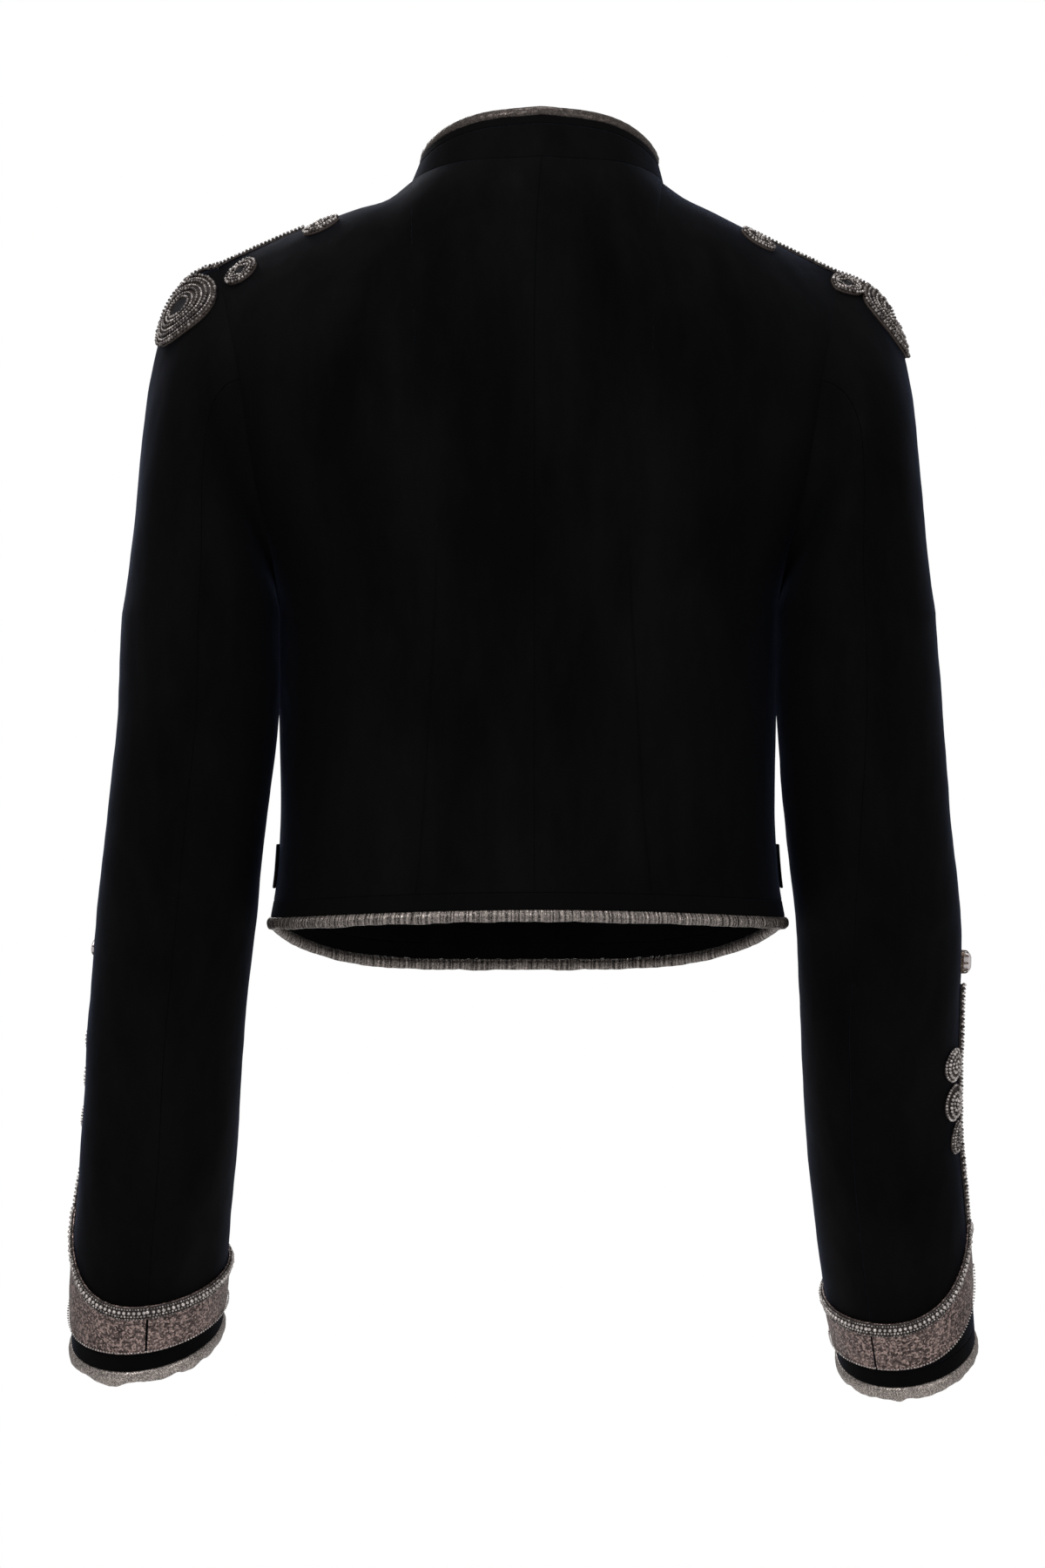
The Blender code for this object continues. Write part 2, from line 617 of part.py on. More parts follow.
stand = collar_strip(0.0, -(COLLAR_EDGE + COLLAR_BINDING), 2)
add_piece("collar_stand", stand, stand * np.array((0.0, 0.0, 1.0)), "velvet")
edge_strip = collar_strip(-(COLLAR_EDGE + COLLAR_BINDING), -COLLAR_BINDING, 1)
add_piece("collar_band", edge_strip, edge_strip * np.array((0.0, 0.0, 1.0)), "edge_velvet")

share_seams(pieces)
skin_verts = []
skin_faces = []
for name, piece in pieces.items():
    points = pull_back(piece["points"], piece["ring"])
    outer = points + piece["offsets"] * (piece["wall"] / 2)
    inner = points - piece["offsets"] * (piece["wall"] / 2)
    make_wall(name, outer, inner, piece["finish"], piece["ring"])
    start = len(skin_verts)
    rows, cols = outer.shape[:2]
    skin_verts += [Vector(tuple(p)) for p in outer.reshape(-1, 3)]
    for i in range(rows - 1):
        for j in range(cols - 1):
            a = start + i * cols + j
            quad = (a, a + 1, a + cols + 1, a + cols)
            normal = Vector(tuple(piece["normals"][i, j]))
            first = (skin_verts[quad[1]] - skin_verts[quad[0]]).cross(skin_verts[quad[2]] - skin_verts[quad[0]])
            skin_faces.append(quad if first.dot(normal) > 0 else quad[::-1])
SKIN = BVHTree.FromPolygons(skin_verts, skin_faces)

# Bindings: padded rolls at the hem, the collar top and the cuff ends
for part_name, face, columns, sign in (
    ("hem_binding_back", "back", round_back, 0.0),
    ("hem_binding_front_left", "front", COLUMNS, 1.0),
    ("hem_binding_front_right", "front", COLUMNS, -1.0),
):
    line = hem_strip(columns, face, 0.0, HEM_BINDING - SEAM, sign)
    line = pull_back(line, False, 2.5 * SEAM)
    normal = face_out(line, grid_normals("open", line), line * np.array((0.3, 0.0, 1.0)))[0]
    way = line[1] - line[0]
    way = way / np.linalg.norm(way, axis=-1)[..., None]
    rolls = roll_rings(line.mean(axis=0), normal, way, HEM_BINDING - SEAM, HEM_ROLL)
    make_tube(part_name, rolls, "silver_binding", closed=False)

line = collar_strip(-COLLAR_BINDING + SEAM, -1e-9, 1)
line = pull_back(line, False)
normal = face_out(line, grid_normals("open", line), line * np.array((0.0, 0.0, 1.0)))[0]
way = (line[1] - line[0]) / np.linalg.norm(line[1] - line[0], axis=-1)[..., None]
make_tube(
    "collar_binding",
    roll_rings(line.mean(axis=0), normal, way, COLLAR_BINDING - SEAM, COLLAR_ROLL),
    "collar_metallic",
    closed=False,
)

for side_name, sign in SIDES:
    length = BICEP - SLEEVE_SIDE[side_name].end
    marks = np.array((2.0, 2.0 - (CUFF_BINDING - SEAM) / length))
    line = sleeve_at(side_name, turns[None, :-1], marks[:, None])
    normal = face_out(line, grid_normals("ring", line), line.mean(axis=1)[:, None, :])[0]
    gap = line[1] - line[0]
    tall = float(np.linalg.norm(gap, axis=-1).min())
    way = gap / np.linalg.norm(gap, axis=-1)[..., None]
    centre = line[1] - way * (tall / 2)
    make_tube(
        f"cuff_binding_{side_name}",
        roll_rings(centre, normal, way, tall, CUFF_ROLL),
        "silver_binding",
        closed=True,
    )

# Taupe cuff layer, moved out from the sleeve and swept up to a point on the ornament line
for side_name, sign in SIDES:
    length = BICEP - SLEEVE_SIDE[side_name].end
    low_sweep = cuff_sweep(turns[:-1], SLEEVE_SIDE[side_name].cuff_turn)
    high_sweep = cuff_sweep(turns[:-1], ornament_turn(side_name, CUFF_POINT_HEIGHT))
    lower = CUFF_BINDING + CUFF_BAND + 0.0012 + CUFF_POINT_LOWER * low_sweep
    upper = CUFF_BINDING + CUFF_BAND + CUFF_LAYER_TALL + CUFF_POINT_UPPER * high_sweep
    rows = []
    for share in (0.0, 0.4, 0.78, 0.82, 1.0):
        rows.append(2.0 - blend(lower, upper, share) / length)
    levels = np.array(rows)
    base = sleeve_at(side_name, turns[None, :-1], levels)
    normal = face_out(base, grid_normals("ring", base), base.mean(axis=1)[:, None, :])
    under = base + normal * (WALL / 2 + LAY)
    thick = np.array((CUFF_LAYER, CUFF_LAYER, CUFF_LAYER, 2.2 * CUFF_LAYER, 2.0 * CUFF_LAYER))
    over = under + normal * thick[:, None, None]
    make_wall(f"cuff_layer_{side_name}", over, under, "cuff_metallic", ring=True)


def near(place):
    """Nearest point of the cloth's outer face, with its normal."""
    found = SKIN.find_nearest(Vector(tuple(place)))
    return np.array(found[0]), np.array(found[1])


def local_frame(centre, normal, along):
    along = along - normal * np.dot(along, normal)
    along = along / np.linalg.norm(along)
    return along, np.cross(normal, along)


def make_plate(name, centre, normal, along, outline, rings, tall, finish, lay=LAY):
    """Raised motif: rings of points laid on the cloth, ridged on top."""
    first, second = local_frame(centre, normal, np.asarray(along, float))
    around = len(outline)
    shares = np.linspace(0.0, 1.0, rings + 1)[1:]
    hub = near(centre)[0]
    top = bmesh.new()
    low_hub = top.verts.new(tuple(hub + normal * lay))
    high_hub = top.verts.new(tuple(hub + normal * (lay + tall * 0.55)))
    low_rings, high_rings = [], []
    for k, share in enumerate(shares):
        ridge = 0.45 if k == rings - 1 else (1.0 if k % 2 == rings % 2 else 0.72)
        low_row, high_row = [], []
        for a, b in outline:
            hit, lift = near(centre + first * a * share + second * b * share)
            lift = lift * 0.5 + normal * 0.5
            lift = lift / np.linalg.norm(lift)
            low_row.append(top.verts.new(tuple(hit + lift * lay)))
            high_row.append(top.verts.new(tuple(hit + lift * (lay + tall * ridge))))
        low_rings.append(low_row)
        high_rings.append(high_row)
    for hub_vert, layers in ((low_hub, low_rings), (high_hub, high_rings)):
        for j in range(around):
            top.faces.new((hub_vert, layers[0][j], layers[0][(j + 1) % around]))
        for k in range(rings - 1):
            for j in range(around):
                n = (j + 1) % around
                top.faces.new((layers[k][j], layers[k + 1][j], layers[k + 1][n], layers[k][n]))
    for j in range(around):
        n = (j + 1) % around
        top.faces.new((low_rings[-1][j], low_rings[-1][n], high_rings[-1][n], high_rings[-1][j]))
    return finish_mesh(name, top, finish)


def teardrop(half_long, half_short, around, taper):
    """Outline of an oval whose far end narrows by taper."""
    points = []
    for t in np.linspace(0.0, 2 * math.pi, around, endpoint=False):
        points.append((half_long * math.cos(t), half_short * math.sin(t) * (1.0 - taper * math.cos(t))))
    return points


def make_cord(name, path, half, tall, finish):
    """Half-round cord laid on the cloth along a path of places."""
    hits = [near(place) for place in path]
    places = np.array([h[0] for h in hits])
    normals = np.array([h[1] for h in hits])
    ways = np.gradient(places, axis=0)
    ways = ways / np.linalg.norm(ways, axis=-1)[..., None]
    rings = []
    for p, n, w in zip(places, normals, ways):
        across = np.cross(n, w)
        across = across / np.linalg.norm(across)
        base = p + n * LAY
        rings.append([
            base - across * half,
            base + across * half,
            base + across * half * 0.7 + n * tall * 0.75,
            base + n * tall,
            base - across * half * 0.7 + n * tall * 0.75,
        ])
    return make_tube(name, np.array(rings), finish, closed=False)


for motif in SHOULDER_MOTIFS:
    centre, normal = near((motif.x, motif.y, motif.z))
    sign = 1.0 if motif.side == "left" else -1.0
    outline = teardrop(motif.half_long, motif.half_short, motif.around, MOTIF_TAPER)
    make_plate(
        f"shoulder_motif_{motif.name}_{motif.side}",
        centre, normal, (sign, 0.0, -0.45), outline, motif.rings, MOTIF_TALL, "beadwork", motif.lay,
    )

for side_name, sign in SIDES:
    span = np.linspace(*SHOULDER_CORD_SPAN, 7)
    ridge = SHOULDER_Z * (span - NECK_HALF) / (SHOULDER_X - NECK_HALF)
    path = np.stack([sign * span, np.full_like(span, -0.004), ridge + 0.006], axis=-1)
    make_cord(f"shoulder_cord_{side_name}", path, CORD_HALF, CORD_TALL, "beadwork")

# Forearm ornament: stone, cord, scrolls and leaf on the outer line
for side_name, sign in SIDES:
    length = BICEP - SLEEVE_SIDE[side_name].end

    def on_line(height, shift=0.0):
        level = 1.0 + (BICEP - height) / length
        turn = ornament_turn(side_name, height) / 360.0 + shift
        return sleeve_at(side_name, np.array(turn), np.array(level))

    bottom = SLEEVE_SIDE[side_name].end + CUFF_BINDING + CUFF_BAND + CUFF_LAYER_TALL + CUFF_POINT_UPPER
    heights = np.linspace(STONE_HEIGHT - STONE_RADIUS - 0.002, bottom + 0.001, 14)
    cord_path = [on_line(h) for h in heights]
    make_cord(f"sleeve_cord_{side_name}", cord_path, CORD_HALF, CORD_TALL, "beadwork")

    centre, normal = near(on_line(STONE_HEIGHT))
    first, second = local_frame(centre, normal, np.array((0.0, 0.0, 1.0)))
    rings = []
    for radius, tall in ((0.75, 0.0), (1.0, 0.35), (0.95, 0.55), (0.5, 1.0)):
        base = centre + normal * (LAY + 0.0004 + STONE_TALL * tall)
        turn_steps = np.linspace(0.0, 2 * math.pi, 10, endpoint=False)
        rings.append([
            base + (first * math.cos(t) + second * math.sin(t)) * STONE_RADIUS * radius for t in turn_steps
        ])
    make_tube(f"sleeve_stone_{side_name}", np.array(rings), "stone", closed=False)

    for motif in SLEEVE_MOTIFS:
        shift = -motif.aside / (2 * math.pi * 0.0445)
        centre, normal = near(on_line(motif.height, shift))
        outline = teardrop(motif.half_long, motif.half_short, 12, MOTIF_TAPER)
        make_plate(
            f"sleeve_{motif.name}_{side_name}",
            centre, normal, (0.0, 0.0, 1.0), outline, 3, MOTIF_TALL, "beadwork", 0.00075,
        )

# Side tabs over the side seams
for side_name, sign in SIDES:
    grid = []
    for height in np.linspace(TAB_HEIGHTS[0], TAB_HEIGHTS[1], 4):
        row = []
        for q in np.linspace(-TAB_BACK, TAB_FRONT, 7):
            face = "back" if q < 0 else "front"
            f = math.cos(abs(q) * math.pi / 2)
            level = (height - hem_height(face, f)) / (UNDERARM - hem_height(face, f))
            row.append(body_at(face, sign, f, level))
        grid.append(row)
    grid = np.array(grid)
    normal = face_out(grid, grid_normals("open", grid), grid * np.array((0.5, 0.3, 1.0)))
    under = grid + normal * (WALL / 2 + LAY)
    bulge = np.sin(np.linspace(0.15, math.pi - 0.15, 4))[:, None, None]
    over = under + normal * TAB_TALL * (0.7 + 0.3 * bulge)
    make_wall(f"side_tab_{side_name}", over, under, "velvet")
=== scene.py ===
"""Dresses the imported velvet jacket: cloth panels, gathered bindings, cuffs, beadwork and the stage.

Metres, +Z up, the front faces -Y and the wearer's left is +X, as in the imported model.
"""

import math
from collections import namedtuple
from functools import partial

import bmesh
import bpy
import numpy as np
from bpy.props import FloatProperty, FloatVectorProperty, PointerProperty
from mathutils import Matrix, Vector, noise
from mathutils.bvhtree import BVHTree


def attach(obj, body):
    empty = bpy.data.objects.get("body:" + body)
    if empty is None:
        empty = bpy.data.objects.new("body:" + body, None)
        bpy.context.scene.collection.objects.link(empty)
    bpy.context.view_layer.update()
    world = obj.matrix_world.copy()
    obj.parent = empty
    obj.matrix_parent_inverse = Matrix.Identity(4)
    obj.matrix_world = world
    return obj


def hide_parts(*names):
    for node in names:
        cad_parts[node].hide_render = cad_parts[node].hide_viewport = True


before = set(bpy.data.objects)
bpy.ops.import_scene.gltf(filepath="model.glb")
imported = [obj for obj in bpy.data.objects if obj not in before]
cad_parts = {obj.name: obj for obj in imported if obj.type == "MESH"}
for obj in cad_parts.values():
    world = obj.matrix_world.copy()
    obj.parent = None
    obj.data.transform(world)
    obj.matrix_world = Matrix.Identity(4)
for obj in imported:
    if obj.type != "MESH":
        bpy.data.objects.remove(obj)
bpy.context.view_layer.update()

bl_info = {
    "name": "Velvet Jacket",
    "version": (1, 0, 0),
    "blender": (4, 5, 0),
    "location": "View3D > Sidebar > Jacket",
    "description": "Cropped velvet jacket with beaded shoulders and metallic cuffs",
    "category": "Object",
}

# Cloth sizes
WALL = 0.0018
LAY = 0.0005
CUFF_LAYER = 0.0011

# Ripples of a wall as size and depth, kept clear of its edges, which are thinned and rounded
RIPPLES = ((0.034, 0.00055), (0.011, 0.00022))
RIPPLE_CLEAR = 0.02
EDGE_ROUND = 0.0009
EDGE_THIN = 0.62

# Body sections: the armhole edge cuts each section short of its full half width
BodySection = namedtuple("BodySection", "height edge half_width back front")
BODY_SECTIONS = (
    BodySection(-0.450, 0.1420, 0.1420, 0.0990, 0.0960),
    BodySection(-0.405, 0.1405, 0.1405, 0.0985, 0.0955),
    BodySection(-0.385, 0.1370, 0.1370, 0.0970, 0.0955),
    BodySection(-0.350, 0.1343, 0.1343, 0.0950, 0.0965),
    BodySection(-0.300, 0.1347, 0.1347, 0.0935, 0.0990),
    BodySection(-0.270, 0.1353, 0.1353, 0.0931, 0.1029),
    BodySection(-0.245, 0.1355, 0.1355, 0.0929, 0.1064),
    BodySection(-0.225, 0.1363, 0.1363, 0.0930, 0.1090),
    BodySection(-0.206, 0.1385, 0.1430, 0.0935, 0.1110),
    BodySection(-0.170, 0.1470, 0.1600, 0.0945, 0.1100),
    BodySection(-0.140, 0.1520, 0.1720, 0.0945, 0.1040),
    BodySection(-0.110, 0.1560, 0.1820, 0.0935, 0.0920),
)
SECTION_POWER = 2.2
UNDERARM = -0.225
YOKE = -0.110
YOKE_EDGE = 0.1560

# Neck and shoulder line
NECK_HALF = 0.0680
NECK_SIDE_Y = 0.0050
NECK_BACK = (0.0720, 0.0415)
NECK_FRONT = (-0.0660, -0.0349)
NECK_POWER = 1.6
NECK_SHIFT = -0.0050
SHOULDER_X = 0.1690
SHOULDER_Y = -0.0020
SHOULDER_Z = -0.0460
NECK_COLUMN = NECK_HALF / SHOULDER_X
SHOULDER_BEND = 1.2

# How far each shoulder line sags below a straight one, by fraction from neck to sleeve head
ShoulderSag = namedtuple("ShoulderSag", "out left right")
SHOULDER_SAGS = (
    ShoulderSag(0.00, 0.0000, 0.0000),
    ShoulderSag(0.10, 0.0036, 0.0024),
    ShoulderSag(0.30, 0.0012, 0.0024),
    ShoulderSag(0.60, -0.0006, 0.0024),
    ShoulderSag(1.00, 0.0000, 0.0026),
)

# Hem line and its trim
HEM_CENTRE_BACK = -0.400
HEM_SIDE = -0.406
HEM_CENTRE_FRONT = -0.432
HEM_BINDING = 0.0065
HEM_BAND = 0.0090
HEM_ROLL = 0.0046
TRIM = HEM_BINDING + HEM_BAND

# Collar: stand, velvet edge and binding
COLLAR_BACK = 0.0294
COLLAR_SIDE = 0.0165
COLLAR_FRONT = 0.0240
COLLAR_EDGE = 0.0046
COLLAR_BINDING = 0.0054
COLLAR_ROLL = 0.0036
COLLAR_LEAN = {"side": 0.24, "back": 0.30, "left_side": 0.20}

# Sleeve rings below the bicep, each side as it hangs
SleeveSection = namedtuple("SleeveSection", "height left right y half_left half_right half_depth tilt")
SLEEVE_SECTIONS = (
    SleeveSection(-0.235, 0.1783, 0.1786, 0.014, 0.0421, 0.0426, 0.054, 0.0),
    SleeveSection(-0.290, 0.1796, 0.1804, 0.016, 0.0430, 0.0444, 0.052, 3.0),
    SleeveSection(-0.335, 0.1848, 0.1843, 0.010, 0.0426, 0.0446, 0.050, 7.0),
    SleeveSection(-0.410, 0.1929, 0.1934, -0.009, 0.0428, 0.0444, 0.047, 14.0),
    SleeveSection(-0.460, 0.1981, 0.1952, -0.024, 0.0422, 0.0427, 0.046, 17.5),
    SleeveSection(-0.510, 0.2012, 0.1977, -0.040, 0.0424, 0.0415, 0.045, 20.0),
    SleeveSection(-0.590, 0.2081, 0.2084, -0.072, 0.0426, 0.0408, 0.043, 23.0),
    SleeveSection(-0.660, 0.2121, 0.2202, -0.104, 0.0410, 0.0373, 0.042, 24.0),
)
BICEP = -0.235
CAP_ARRIVE = 1.2
SleeveSide = namedtuple("SleeveSide", "sign end side_rise twist cap_leave cuff_turn")
SLEEVE_SIDE = {
    "left": SleeveSide(1.0, -0.641, -0.16, 0.0, 0.70, 228.0),
    "right": SleeveSide(-1.0, -0.652, 0.16, 28.0, 0.84, 208.0),
}
TWIST_FROM = -0.26
TWIST_TO = -0.46
HIND_SEAM = 0.25
FORE_SEAM = {"left": 0.8750, "right": 0.8125}
ARM_STATIONS = (1.0, 1.165, 1.478, 1.739, 2.0, 2.30, 2.56, 2.80, 3.0)
SLEEVE_ROUND = 2 * math.pi * 0.0445
TURN_MM = 0.0036
COLUMN_MM = 0.0072
CUFF_BINDING = 0.0080
CUFF_BAND = 0.0095
CUFF_ROLL = 0.0050
CUFF_SEAM_CLEAR = 0.0085
CUFF_SEAM_GROOVE = 0.0006
CUFF_LAYER_GAP = 0.0012
CUFF_LAYER_TALL = 0.0280
CUFF_POINT_UPPER = 0.0360
CUFF_POINT_LOWER = 0.0300
CUFF_POINT_REACH = 95.0
CUFF_POINT_POWER = 2.4
CUFF_POINT_HEIGHT = -0.560

# Angle of the ornament line round each sleeve, by height
OrnamentTurn = namedtuple("OrnamentTurn", "height left right")
ORNAMENT_TURNS = (
    OrnamentTurn(-0.423, 206.0, 198.0),
    OrnamentTurn(-0.495, 226.0, 198.0),
    OrnamentTurn(-0.560, 190.0, 198.0),
)

# Drag folds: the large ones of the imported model, then finer ones
Fold = namedtuple("Fold", "x0 z0 x1 z1 width depth")
BACK_FOLDS = (
    Fold(-0.034, -0.030, -0.082, -0.088, 0.012, 0.0028),
    Fold(-0.076, -0.080, -0.120, -0.178, 0.013, 0.0040),
    Fold(-0.084, -0.168, -0.122, -0.305, 0.012, 0.0036),
    Fold(0.100, -0.070, 0.128, -0.180, 0.012, 0.0036),
    Fold(0.112, -0.215, 0.126, -0.300, 0.011, 0.0030),
    Fold(-0.046, -0.350, -0.020, -0.376, 0.006, 0.0010),
    Fold(0.052, -0.352, 0.024, -0.378, 0.006, 0.0010),
    Fold(0.072, -0.250, 0.112, -0.300, 0.007, 0.0012),
    Fold(-0.104, -0.205, -0.128, -0.232, 0.005, 0.0012),
    Fold(0.108, -0.196, 0.130, -0.226, 0.005, 0.0012),
    Fold(0.030, -0.022, 0.066, -0.060, 0.007, 0.0010),
)
SLEEVE_FOLDS = (
    Fold(0.214, -0.150, 0.196, -0.192, 0.009, 0.0022),
    Fold(0.208, -0.205, 0.190, -0.330, 0.011, 0.0030),
    Fold(-0.172, -0.130, -0.202, -0.165, 0.009, 0.0024),
    Fold(-0.158, -0.178, -0.184, -0.190, 0.009, 0.0022),
    Fold(-0.214, -0.182, -0.196, -0.216, 0.010, 0.0024),
    Fold(-0.216, -0.222, -0.184, -0.262, 0.010, 0.0026),
    Fold(-0.226, -0.350, -0.180, -0.392, 0.012, 0.0024),
    Fold(0.184, -0.575, 0.196, -0.604, 0.0045, 0.0012),
    Fold(0.193, -0.570, 0.206, -0.600, 0.0045, 0.0012),
    Fold(-0.232, -0.392, -0.196, -0.420, 0.006, 0.0012),
    Fold(0.222, -0.352, 0.186, -0.384, 0.007, 0.0012),
    Fold(0.166, -0.262, 0.190, -0.284, 0.006, 0.0011),
)

# Back dart: fraction of the half width it reaches at two heights
DART_TOP = (-0.183, 0.360)
DART_LOW = (-0.368, 0.4475)
DART_DEPTH = 0.0011
DART_PINCH = 0.0009
DART_HOLLOW = 0.0050

# Shoulder motifs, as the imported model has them
Motif = namedtuple("Motif", "name side x y z half_long half_short")
SHOULDER_MOTIFS = (
    Motif("large", "left", 0.1985, 0.022, -0.0615, 0.0245, 0.0230),
    Motif("middle", "left", 0.1655, 0.030, -0.0385, 0.0098, 0.0088),
    Motif("small", "left", 0.1175, 0.030, -0.0150, 0.0105, 0.0080),
    Motif("large", "right", -0.2055, 0.004, -0.0690, 0.0245, 0.0195),
    Motif("middle", "right", -0.1785, 0.019, -0.0400, 0.0098, 0.0088),
    Motif("small", "right", -0.1310, 0.030, -0.0210, 0.0105, 0.0080),
)
MOTIF_TALL = 0.0024
MOTIF_TAPER = 0.12
MOTIF_RINGS = 18
MOTIF_RIDGES = 7
MOTIF_LAY = {"shoulder": 0.0006, "sleeve": 0.0004}
MOTIF_SLOPE = -0.45
CORD_HALF = 0.0022
CORD_TALL = 0.0024
CORD_AROUND = 12
CORD_STEP = 0.0008
CORD_TWIST = 0.9
CORD_BEAD = 1.15
SHOULDER_CORD_SPAN = (0.124, 0.189)
SHOULDER_CORD_Y = -0.004
SHOULDER_CORD_RISE = 0.006

# Bead rows over a cord: place across it and height, as parts of its half width and height
CordRow = namedtuple("CordRow", "aside high")
CORD_ROWS = (CordRow(0.0, 0.55), CordRow(-0.80, 0.25), CordRow(0.80, 0.25))

# Pitch of the beads of a motif as a part of their radius
BEAD_PITCH = 2.2

# Bead rows of each kind of motif: share of the outline, bead radius, lobes and their depth, range of tones
BeadRow = namedtuple("BeadRow", "share radius lobes depth dark light")
BEAD_ROWS = {
    "large": (
        BeadRow(0.97, 0.00110, 0, 0.0, 0.0, 0.35),
        BeadRow(0.85, 0.00070, 0, 0.0, 0.1, 0.9),
        BeadRow(0.74, 0.00095, 0, 0.0, 0.0, 0.3),
        BeadRow(0.62, 0.00070, 0, 0.0, 0.2, 1.0),
        BeadRow(0.51, 0.00095, 0, 0.0, 0.0, 0.35),
        BeadRow(0.39, 0.00070, 0, 0.0, 0.2, 1.0),
        BeadRow(0.28, 0.00085, 0, 0.0, 0.0, 0.5),
    ),
    "middle": (
        BeadRow(0.95, 0.00100, 0, 0.0, 0.0, 0.7),
        BeadRow(0.72, 0.00080, 0, 0.0, 0.1, 1.0),
        BeadRow(0.46, 0.00065, 4, 0.22, 0.2, 1.0),
    ),
    "small": (
        BeadRow(0.94, 0.00095, 0, 0.0, 0.0, 0.7),
        BeadRow(0.68, 0.00075, 0, 0.0, 0.1, 1.0),
        BeadRow(0.20, 0.00075, 0, 0.0, 0.3, 1.0),
    ),
}

# Sleeve ornament: height, distance from the cord toward the back, half sizes
SleeveMotif = namedtuple("SleeveMotif", "name height aside half_long half_short")
SLEEVE_MOTIFS = (
    SleeveMotif("scroll_upper", -0.4740, 0.0142, 0.0090, 0.0102),
    SleeveMotif("scroll_lower", -0.4950, 0.0142, 0.0098, 0.0102),
    SleeveMotif("leaf", -0.5160, 0.0112, 0.0088, 0.0066),
)
SLEEVE_MOTIF_TALL = 0.0018
SCROLL_TURNS = 2.3
SCROLL_START = 0.4
RIM_HIGH = 0.0006

# Rows of beads on the cuff: distance below its upper edge, or above its lower one where negative
BRAID_TALL = 0.0072
BraidRow = namedtuple("BraidRow", "distance size pitch dark light")
BRAID_ROWS = (
    BraidRow(0.0010, 0.55, 2.3, 0.10, 0.75),
    BraidRow(0.0028, 1.00, 2.3, 0.60, 1.00),
    BraidRow(0.0049, 0.65, 2.3, 0.25, 0.95),
    BraidRow(0.0065, 0.50, 2.6, 0.05, 0.60),
    BraidRow(-0.0012, 0.45, 3.4, 0.50, 1.00),
)
BRAID_LINES = 7
BRAID_PUFF = 0.0005
BRAID_BEAD_RISE = 0.0003
STITCH = 0.0002
CORD_BELOW_STONE = 0.006
CORD_OVER_CUFF = 0.003
STONE_HEIGHT = -0.4230
STONE_RADIUS = 0.0062
STONE_TALL = 0.0055
STONE_RISE = 0.0002
CLAWS = 8
CLAW_SINK = 0.0004
CLAW_WALL = 0.0007
CLAW_BEVEL = 0.00018
TAB_HEIGHTS = (-0.3840, -0.3600)
TAB_BACK = 0.060
TAB_FRONT = 0.26
TAB_TALL = 0.0013

# First seed of each group of bead trays
CUFF_SEED = 40
SHOULDER_MOTIF_SEED = 60
SHOULDER_CORD_SEED = 80
SLEEVE_CORD_SEED = 100
SLEEVE_MOTIF_SEED = 120

# Padded bindings: points round the roll, sizes of its puckers and of its wandering edge
ROLL_AROUND = 24
PUCKER_LARGE, PUCKER_SMALL, PUCKER_FINE = 0.0042, 0.0017, 0.0026
SWAY_LARGE, SWAY_SMALL = 0.0150, 0.0060

# Stage: what the camera and the lamps face, the lamps and the floor
AIM = (0.0029, 0.0, -0.327)
SENSOR = 36.0
FLOOR_RADIUS = 2.5
Lamp = namedtuple("Lamp", "name place size power")
LAMPS = (
    Lamp("key", (1.5, 2.4, 1.3), 1.2, 34.0),
    Lamp("fill", (-2.0, 2.2, 0.2), 1.6, 16.0),
    Lamp("front", (0.8, -2.8, 1.2), 1.6, 30.0),
    Lamp("top", (0.0, 0.4, 2.4), 1.4, 22.0),
)

SIDES = tuple((name, spec.sign) for name, spec in SLEEVE_SIDE.items())

# Outer faces of the cloth that ornament is laid on, filled as the pieces are made
CLOTH = {}


def blend(a, b, t):
    return a + (b - a) * t


def ease(t):
    t = np.clip(t, 0.0, 1.0)
    return t * t * (3.0 - 2.0 * t)


def unit(way):
    return way / np.maximum(np.linalg.norm(way, axis=-1)[..., None], 1e-12)


def hermite(p0, m0, p1, m1, t):
    """Cubic from p0 to p1 with end slopes m0 and m1."""
    s = 1.0 - t
    return (1 + 2 * t) * s * s * p0 + t * s * s * m0 + t * t * (3 - 2 * t) * p1 - t * t * s * m1


def through(stations, values, at):
    """Smooth curve through the rows of a table."""
    order = np.argsort(stations)
    s = np.asarray(stations, float)[order]
    v = np.asarray(values, float)[order]
    slope = np.gradient(v, s)
    i = np.clip(np.searchsorted(s, at) - 1, 0, len(s) - 2)
    step = s[i + 1] - s[i]
    return hermite(v[i], slope[i] * step, v[i + 1], slope[i + 1] * step, (at - s[i]) / step)


def column(table, name):
    return [getattr(row, name) for row in table]


def table_at(table, name, at):
    """Smooth curve through one column of a table by height."""
    return through(column(table, "height"), column(table, name), at)


def run_along(points):
    """Distance along a line of points, from its start to each of them."""
    return np.insert(np.cumsum(np.linalg.norm(np.diff(points, axis=0), axis=-1)), 0, 0.0)


def fold_height(folds, x, z):
    """Rounded ridges along the fold lines of a table, seen from behind."""
    total = np.zeros_like(x)
    for fold in folds:
        dx, dz = fold.x1 - fold.x0, fold.z1 - fold.z0
        along = ((x - fold.x0) * dx + (z - fold.z0) * dz) / (dx * dx + dz * dz)
        off_x = x - fold.x0 - along * dx
        off_z = z - fold.z0 - along * dz
        across = np.sqrt(off_x ** 2 + off_z ** 2) / fold.width
        reach = ease((along + 0.15) / 0.4) * ease((1.15 - along) / 0.4)
        total += fold.depth * np.exp(-across ** 2) * reach
    return total


def hem_height(face, f):
    if face == "back":
        return blend(HEM_CENTRE_BACK, HEM_SIDE, f ** 2)
    return blend(HEM_SIDE, HEM_CENTRE_FRONT, ease(np.sqrt(np.clip(1.0 - f ** 2, 0.0, 1.0))))


def hem_level(face, f, distance):
    """Level that lies a given distance above the hem line."""
    return distance / (UNDERARM - hem_height(face, f))


